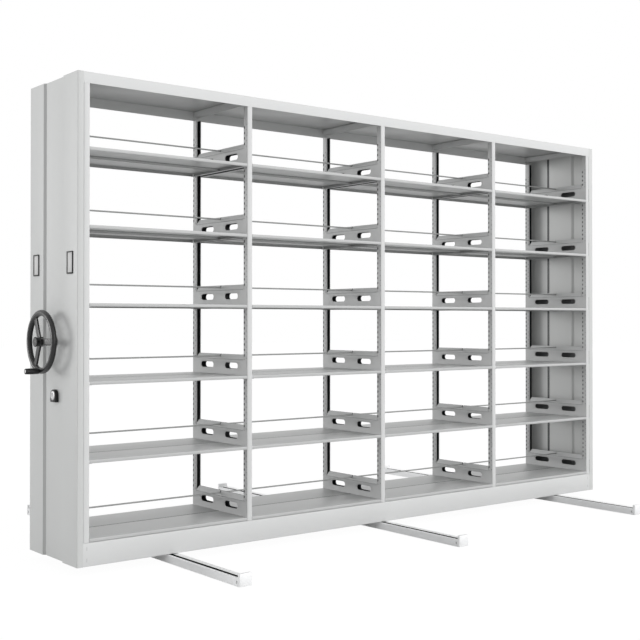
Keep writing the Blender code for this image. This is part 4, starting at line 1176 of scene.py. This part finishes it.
cut_out(casting, built(prism, (circle(spindle_place, STUD_BORE, 24), "X", stud_ends),
                       (circle(shaft_place, AXLE_BORE, 40), "X", shaft_ends)), math.radians(60))
settle(casting, "handwheel", "black_plastic", "handwheel")

cap = built(lathe, ([(hub_face + x, radius) for x, radius in CAP_FACE], shaft_place, 48))
settle(mesh_piece("hub_cap", cap, wheel_black), "handwheel", "black_plastic")


# Shaft and its bearing: a bright shaft runs from the hub through a black flanged bearing, held
# on the recess sheet by three screws, to the small sprocket.
FLANGE_THICK = 0.006
FLANGE_RADIUS = 0.030
FLANGE_EDGE = 0.0015
FLANGE_FILLET = 0.002

bright_steel = turned_steel("bright_steel", 0.62, 0.26)
bearing_black = black_casting("bearing_black", 0.012, 0.42, 500.0, 0.25)
shaft_low, shaft_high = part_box("handwheel_shaft")
shaft = built(lathe, (round_bar(shaft_low.x, shaft_high.x, AXLE_RADIUS, EDGE_BREAK), shaft_place, 48))
settle(mesh_piece("drive_shaft", shaft, bright_steel), "handwheel", "bright_steel", "handwheel_shaft")

flange_back = recess_x - GAP
flange_face, nose = flange_back - FLANGE_THICK, flange_low.x
bearing = [(nose, AXLE_BORE), (nose, BOSS_RADIUS - FLANGE_EDGE), (nose + FLANGE_EDGE, BOSS_RADIUS),
           (flange_face - FLANGE_FILLET, BOSS_RADIUS), (flange_face, BOSS_RADIUS + FLANGE_FILLET),
           (flange_face, FLANGE_RADIUS - FLANGE_EDGE), (flange_face + FLANGE_EDGE, FLANGE_RADIUS),
           (flange_back, FLANGE_RADIUS), (flange_back, BOSS_RADIUS), (flange_high.x, BOSS_RADIUS),
           (flange_high.x, AXLE_BORE)]
bearing_piece = mesh_piece("flanged_bearing", built(lathe, (bearing, shaft_place, 56, True)), bearing_black)
settle(bearing_piece, "carriage", "black_plastic", "shaft_flange")


# Crank: a bright stud screwed into the rim carries a black grip that turns on it, with a
# slightly barrelled body, rounded ends and the stud's slotted head sunk in its nose.
GRIP_ROUND_LONG = 0.0035
GRIP_ROUND_TALL = 0.0032
GRIP_BARREL = 0.0008
GRIP_BORE = 0.0044
GRIP_STEPS = 14
GRIP_IN_BOX = 0.0001
HEAD_ROOM = 0.0078
HEAD_RADIUS = 0.0075
HEAD_BEVEL = 0.0007
HEAD_LONG = 0.003
STUD_RADIUS = 0.0040
HEAD_SLOT = ((-0.001, 0.0012), 0.009, 0.0007)    # (from the end, to), half length, half height

grip_low, grip_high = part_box("crank_grip")
grip_radius = (grip_high.z - grip_low.z) / 2 - GRIP_IN_BOX
grip_start, grip_end = grip_low.x + GRIP_ROUND_LONG, grip_high.x - GRIP_ROUND_LONG
shoulder = grip_radius - GRIP_BARREL - GRIP_ROUND_TALL
rounds = [(GRIP_ROUND_LONG * math.cos(t), shoulder + GRIP_ROUND_TALL * math.sin(t))
          for t in (math.pi / 2 * i / 5 for i in range(1, 5))]
body = [(grip_start, HEAD_ROOM), (grip_low.x, HEAD_ROOM), (grip_low.x, shoulder)]
body += [(grip_start - x, radius) for x, radius in rounds]
for share in (i / GRIP_STEPS for i in range(GRIP_STEPS + 1)):
    radius = grip_radius - GRIP_BARREL * (1 - math.sin(math.pi * share))
    body.append((grip_start + (grip_end - grip_start) * share, radius))
body += [(grip_end + x, radius) for x, radius in reversed(rounds)]
body += [(grip_high.x, shoulder), (grip_high.x, GRIP_BORE), (grip_start + GRIP_IN_BOX, GRIP_BORE)]
grip_black = black_casting("grip_black", 0.014, 0.32, 420.0, 0.36)
grip = mesh_piece("crank_grip_body", built(lathe, (body, spindle_place, 56, True)), grip_black)
settle(grip, "grip", "black_plastic", "crank_grip")


def slotted(made, place, x, size):
    """Cut a slot into the end of a turned part that starts at x."""
    y, z = place
    (start, end), long, tall = size
    cut_out(made, built(block, ((x + start, y - long, z - tall), (x + end, y + long, z + tall))))


head, stud_end = spindle_low.x, spindle_high.x
profile = [(head, 0.0), (head, HEAD_RADIUS - HEAD_BEVEL), (head + HEAD_BEVEL, HEAD_RADIUS),
           (head + HEAD_LONG, HEAD_RADIUS), (head + HEAD_LONG, STUD_RADIUS), (stud_end, STUD_RADIUS),
           (stud_end, 0.0)]
stud = mesh_piece("crank_stud", built(lathe, (profile, spindle_place, 40)), bright_steel)
slotted(stud, spindle_place, head, HEAD_SLOT)
settle(stud, "handwheel", "bright_steel", "crank_spindle")


# Lock: an arched black housing stands on the recess sheet, with a chromed cylinder that turns a
# cam inside the panel. Its face has a turned rim and a key slot.
HOUSING_EDGE = 0.0022
HOUSING_REACH = 0.004         # how far the bore's cutter stands out of the housing
LOCK_FACE = [(0.0010, 0.0), (0.0010, 0.0105), (0.0003, 0.0112), (0.0, 0.0120), (0.0, 0.0130),
             (0.0008, 0.0138), (0.0008, 0.0194), (0.0014, 0.0216)]       # (from the face, radius)
LOCK_RIM = 0.0224
LOCK_RIM_EDGE = 0.0006
BARREL_RADIUS = 0.0100
BARREL_SHORT = 0.0015
KEY_SLOT = ((-0.001, 0.0024), 0.0011, 0.0050)
CAM_DOWN = 0.0130
CAM_LONG = 0.0415
CAM_WIDE = 0.0158
CAM_THICK = 0.002

arch = arc(lock_place, lock_radius, 0, 180, 32) + [(lock_low.y, lock_low.z), (lock_high.y, lock_low.z)]
bm = built(prism, (arch, "X", (lock_low.x, lock_high.x)))
housing = mesh_piece("lock_arch_housing", bm, bearing_black)
softened_edges(housing, HOUSING_EDGE, segments=4, angle=50)
bore_ends = (lock_low.x - HOUSING_REACH, lock_high.x + HOUSING_REACH)
cut_out(housing, built(prism, (circle(lock_place, LOCK_HOLE, 40), "X", bore_ends)), math.radians(55))
settle(housing, "carriage", "black_plastic", "lock_housing")

lock_steel = turned_steel("lock_steel", 0.42, 0.34)
cylinder_low, cylinder_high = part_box("lock_cylinder")
disc, barrel_end = lock_low.x - GAP, cylinder_high.x - BARREL_SHORT
profile = [(cylinder_low.x + x, radius) for x, radius in LOCK_FACE]
profile += [(disc - LOCK_RIM_EDGE, LOCK_RIM), (disc, LOCK_RIM - LOCK_RIM_EDGE), (disc, BARREL_RADIUS),
            (barrel_end, BARREL_RADIUS), (barrel_end, 0.0)]
lock_face = mesh_piece("lock_face", built(lathe, (profile, lock_place, 64)), lock_steel)
slotted(lock_face, lock_place, cylinder_low.x, KEY_SLOT)
settle(lock_face, "lock", "bright_steel", "lock_cylinder")

cam_outline = upright_oblong((lock_place[0], lock_place[1] + CAM_DOWN), CAM_LONG, CAM_WIDE, steps=8)
cam = built(prism, (cam_outline, "X", (cylinder_high.x - CAM_THICK, cylinder_high.x)))
settle(mesh_piece("lock_cam", cam, bright_steel), "lock", "bright_steel", "lock_cylinder")


# Label holders: black moulded frames on the raised bands, open at the top behind a thin bar,
# with a bare pale card that slides in from above.
LABEL_RIM = 0.0053
LABEL_REAR_RIM = 0.0082       # the side away from the front is the wider one
LABEL_EDGE = 0.0003
CARD_EDGE = 0.0002

card_white = worn("white_card", ((0.70, 0.70, 0.69), (0.76, 0.76, 0.75)), 0.7, 0.0,
                  patches=(900.0, 3.0), relief=(0.00005, 0.3))
for side in ("near", "far"):
    low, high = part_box(f"label_holder_{side}")
    card_low, card_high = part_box(f"label_card_{side}")
    lip_x, bed_x = card_low.x - GAP, card_high.x + GAP
    first, last = low.y + LABEL_RIM, high.y - LABEL_REAR_RIM
    outline = [(lip_x, first), (low.x, first), (low.x, low.y), (high.x, low.y), (high.x, high.y),
               (low.x, high.y), (low.x, last), (lip_x, last), (lip_x, card_high.y + GAP),
               (bed_x, card_high.y + GAP), (bed_x, card_low.y - GAP), (lip_x, card_low.y - GAP)]
    parts = {"frame": built(prism, (outline, "Z", (low.z + LABEL_RIM, high.z))),
             "foot": built(block, (low, (high.x, high.y, low.z + LABEL_RIM))),
             "bar": built(block, ((low.x, first, high.z - LABEL_RIM), (lip_x, last, high.z)))}
    for name, bm in parts.items():
        part = mesh_piece(f"label_{name}_{side}", bm, bearing_black)
        softened_edges(part, LABEL_EDGE)
        settle(part, "carriage", "black_plastic", f"label_holder_{side}")
    card = mesh_piece(f"bare_card_{side}", built(block, (card_low, card_high)), card_white)
    softened_edges(card, CARD_EDGE)
    settle(card, f"card_{side}", "card_white", f"label_card_{side}")


# Fasteners: zinc-plated pan heads with a cross recess. They hold the bearing flange and the
# ceiling sheets.
SCREW_SIDES = 16
HEAD_STEPS = ((1.0, 0.0), (1.0, 0.35), (0.92, 0.65), (0.75, 0.86), (0.45, 1.0))   # (reach, height)
CROSS_REACH = 0.40
CROSS_WAIST = 0.12
CROSS_STEPS = ((1.0, 0.98), (0.8, 0.45))
CEILING_SCREW = (0.0035, 0.0018)                 # (radius, height)
CEILING_SCREW_FROM_FRAME = 0.008
CEILING_SCREW_FROM_EDGE = 0.06
FLANGE_SCREW = (0.0032, 0.002)
FLANGE_SCREW_RING = 0.023
SCREW_SINK = 0.0001

zinc = worn("zinc_plate", ((0.58, 0.58, 0.56), (0.72, 0.73, 0.75)), 0.35, 0.14,
            patches=(300.0, 3.0), metallic=1.0)


def pan_head(bm, radius, tall):
    """A pan head standing along -Y from y 0, with a cross recess."""
    disc = circle((0.0, 0.0), radius, SCREW_SIDES)
    cross = [(u * reach, v * reach) for i, (u, v) in enumerate(disc)
             for reach in [CROSS_WAIST if i % 4 else CROSS_REACH]]
    levels = [(disc, *step) for step in HEAD_STEPS] + [(cross, *step) for step in CROSS_STEPS]
    stacked(bm, [[(reach * u, -tall * up, reach * v) for u, v in spots] for spots, reach, up in levels])


def screws(name, size, place, turn, counts=(1, 1, 1), pitches=(0.0, 0.0, 0.0)):
    """One pan head at a place, turned, then laid out in rows."""
    bm = built(pan_head, size)
    bmesh.ops.transform(bm, matrix=Matrix.Translation(place) @ turn.to_4x4(), verts=bm.verts)
    settle(in_rows(mesh_piece(name, bm, zinc), zinc, counts, pitches), "carriage", "bright_steel")


upward, sideways = [Matrix.Rotation(math.radians(-90), 3, axis) for axis in "XZ"]
first_place = (frame_xs[0] + CEILING_SCREW_FROM_FRAME, ceiling_low.y + CEILING_SCREW_FROM_EDGE,
               ceiling_high.z - SCREW_SINK)
across = ceiling_high.y - ceiling_low.y - 2 * CEILING_SCREW_FROM_EDGE
screws("ceiling_screws", CEILING_SCREW, first_place, upward, (FRAMES, 2, 1), (bay_pitch, across, 0.0))
for number, spot in enumerate(arc(shaft_place, FLANGE_SCREW_RING, 90, 330, 2), start=1):
    screws(f"flange_screw_{number}", FLANGE_SCREW, (flange_face + SCREW_SINK, *spot), sideways)


# Base beam tab slots: two small upright slits at each end of the front and back beam, where the
# end panels' tabs hook in. Each is drawn as a darker oblong in the beam's face, painted shade.
TAB_TALL = 0.018
TAB_WIDE = 0.003
TAB_FROM_END = 0.019
TAB_LOWS = (0.030, 0.083)
TAB_REACH = (-0.0001, 0.0016)
TAB_SHADE = 0.3

slots = [(upright_oblong((x, base_low.z + up), TAB_TALL, TAB_WIDE, steps=5), "Y",
          [rack_front + reach for reach in TAB_REACH])
         for x in (base_low.x + TAB_FROM_END, base_high.x - TAB_FROM_END) for up in TAB_LOWS]
# The slits are darker oblongs: painted shade.
slit_shades = mesh_piece("beam_tab_slots", built(prism, *slots), rack_coat)
paint_shade(slit_shades, lambda face: TAB_SHADE)
settle(slit_shades, "carriage", "front_grey")


# Stage and lamps: a white floor, a wide soft key from the front right, a faint low one from
# behind on the left, and an even pale sky, at a level where a colour renders about as it is
# written.
FLOOR_GREY = 0.66
FLOOR_GLOW = 1.045
FLOOR_IN_CAMERA = 0.93
FLOOR_IN_GLOSS = 0.6
FLOOR_REACH = 40.0
FLOOR_DOWN = 0.0005
SKY_TINT = (0.985, 0.99, 1.0, 1.0)
SKY_LEVEL = 0.70
WHITE = (1.0, 1.0, 1.0, 1.0)
LAMPS = (("front_key", (0.9, -1.0, 0.4), 1.80, 60), ("left_rear", (-1.0, 1.0, 0.0), 1.15, 27))


def ray(nodes, kind):
    """1 for rays of a kind, and 0 for others."""
    return nodes.node("ShaderNodeLightPath", output=f"Is {kind} Ray")


def mixed(nodes, share, first, second, end):
    """Two shaders mixed into the end of a node tree."""
    both = nodes.node("ShaderNodeMixShader", None, {0: share, 1: first, 2: second})
    nodes.feed(nodes.tree.nodes[end].inputs["Surface"], both)


def white_floor():
    """White paper that keeps only a breath of the object's shadow in the picture."""
    made = Finish("white_floor", 0.9, specular=0.0)
    made.feed(made.shader["Base Color"], (FLOOR_GREY, FLOOR_GREY, FLOOR_GREY, 1.0))
    glow = made.node("ShaderNodeEmission", None, {"Color": WHITE, "Strength": FLOOR_GLOW})
    paper = Mask(made, made.tree.nodes["Principled BSDF"].outputs["BSDF"])
    share = (ray(made, "Camera") + ray(made, "Transmission")) * FLOOR_IN_CAMERA
    mixed(made, share + ray(made, "Glossy") * FLOOR_IN_GLOSS, paper, glow, "Material Output")
    return made.material


bm = bmesh.new()
bmesh.ops.create_grid(bm, x_segments=4, y_segments=4, size=FLOOR_REACH)
floor = placed("floor", meshed("floor", bm))
floor.location.z = -FLOOR_DOWN
floor.data.materials.append(white_floor())

world = bpy.data.worlds.new("studio")
bpy.context.scene.world = world
world.use_nodes = True
sky = Nodes(world.node_tree)
plain = sky.tree.nodes["Background"]
sky.feed(plain.inputs["Color"], SKY_TINT)
sky.feed(plain.inputs["Strength"], SKY_LEVEL)
backdrop = sky.node("ShaderNodeBackground", None, {"Color": WHITE, "Strength": 1.0})
seen = ray(sky, "Camera")
for kind in ("Glossy", "Transmission"):
    seen = seen.combine("MAXIMUM", seen, ray(sky, kind))
mixed(sky, seen, Mask(sky, plain.outputs[0]), backdrop, "World Output")

for name, toward, strength, spread in LAMPS:
    light = bpy.data.lights.new(name, "SUN")
    light.energy = strength
    light.angle = math.radians(spread)
    placed(name, light).rotation_euler = Vector(toward).to_track_quat("Z", "Y").to_euler()


# Camera: it stands where the picture was taken from, almost level with the middle of the rack,
# and turned to its right. Its lens and shift are those of the picture's fitted perspective.
CAMERA_PLACE = (-4.04075, -5.1562, 1.1827)
CAMERA_HEADING = -38.281      # degrees from +Y
CAMERA_PITCH = 0.524
CAMERA_LENS = 61.293
CAMERA_SENSOR = 36.0
CAMERA_REACH = 200.0
PRINCIPAL_ROW = 309.84        # row of the optical axis in the picture
PICTURE_SIDE = 640

view = bpy.data.cameras.new("photo_view")
view.sensor_width = CAMERA_SENSOR
view.lens = CAMERA_LENS
view.shift_y = (PRINCIPAL_ROW - PICTURE_SIDE / 2) / PICTURE_SIDE
view.clip_end = CAMERA_REACH
camera = placed("photo_view", view)
camera.location = CAMERA_PLACE
camera.rotation_euler = (math.radians(90 + CAMERA_PITCH), 0.0, math.radians(CAMERA_HEADING))
bpy.context.scene.camera = camera
bpy.context.scene.view_settings.view_transform = "Standard"
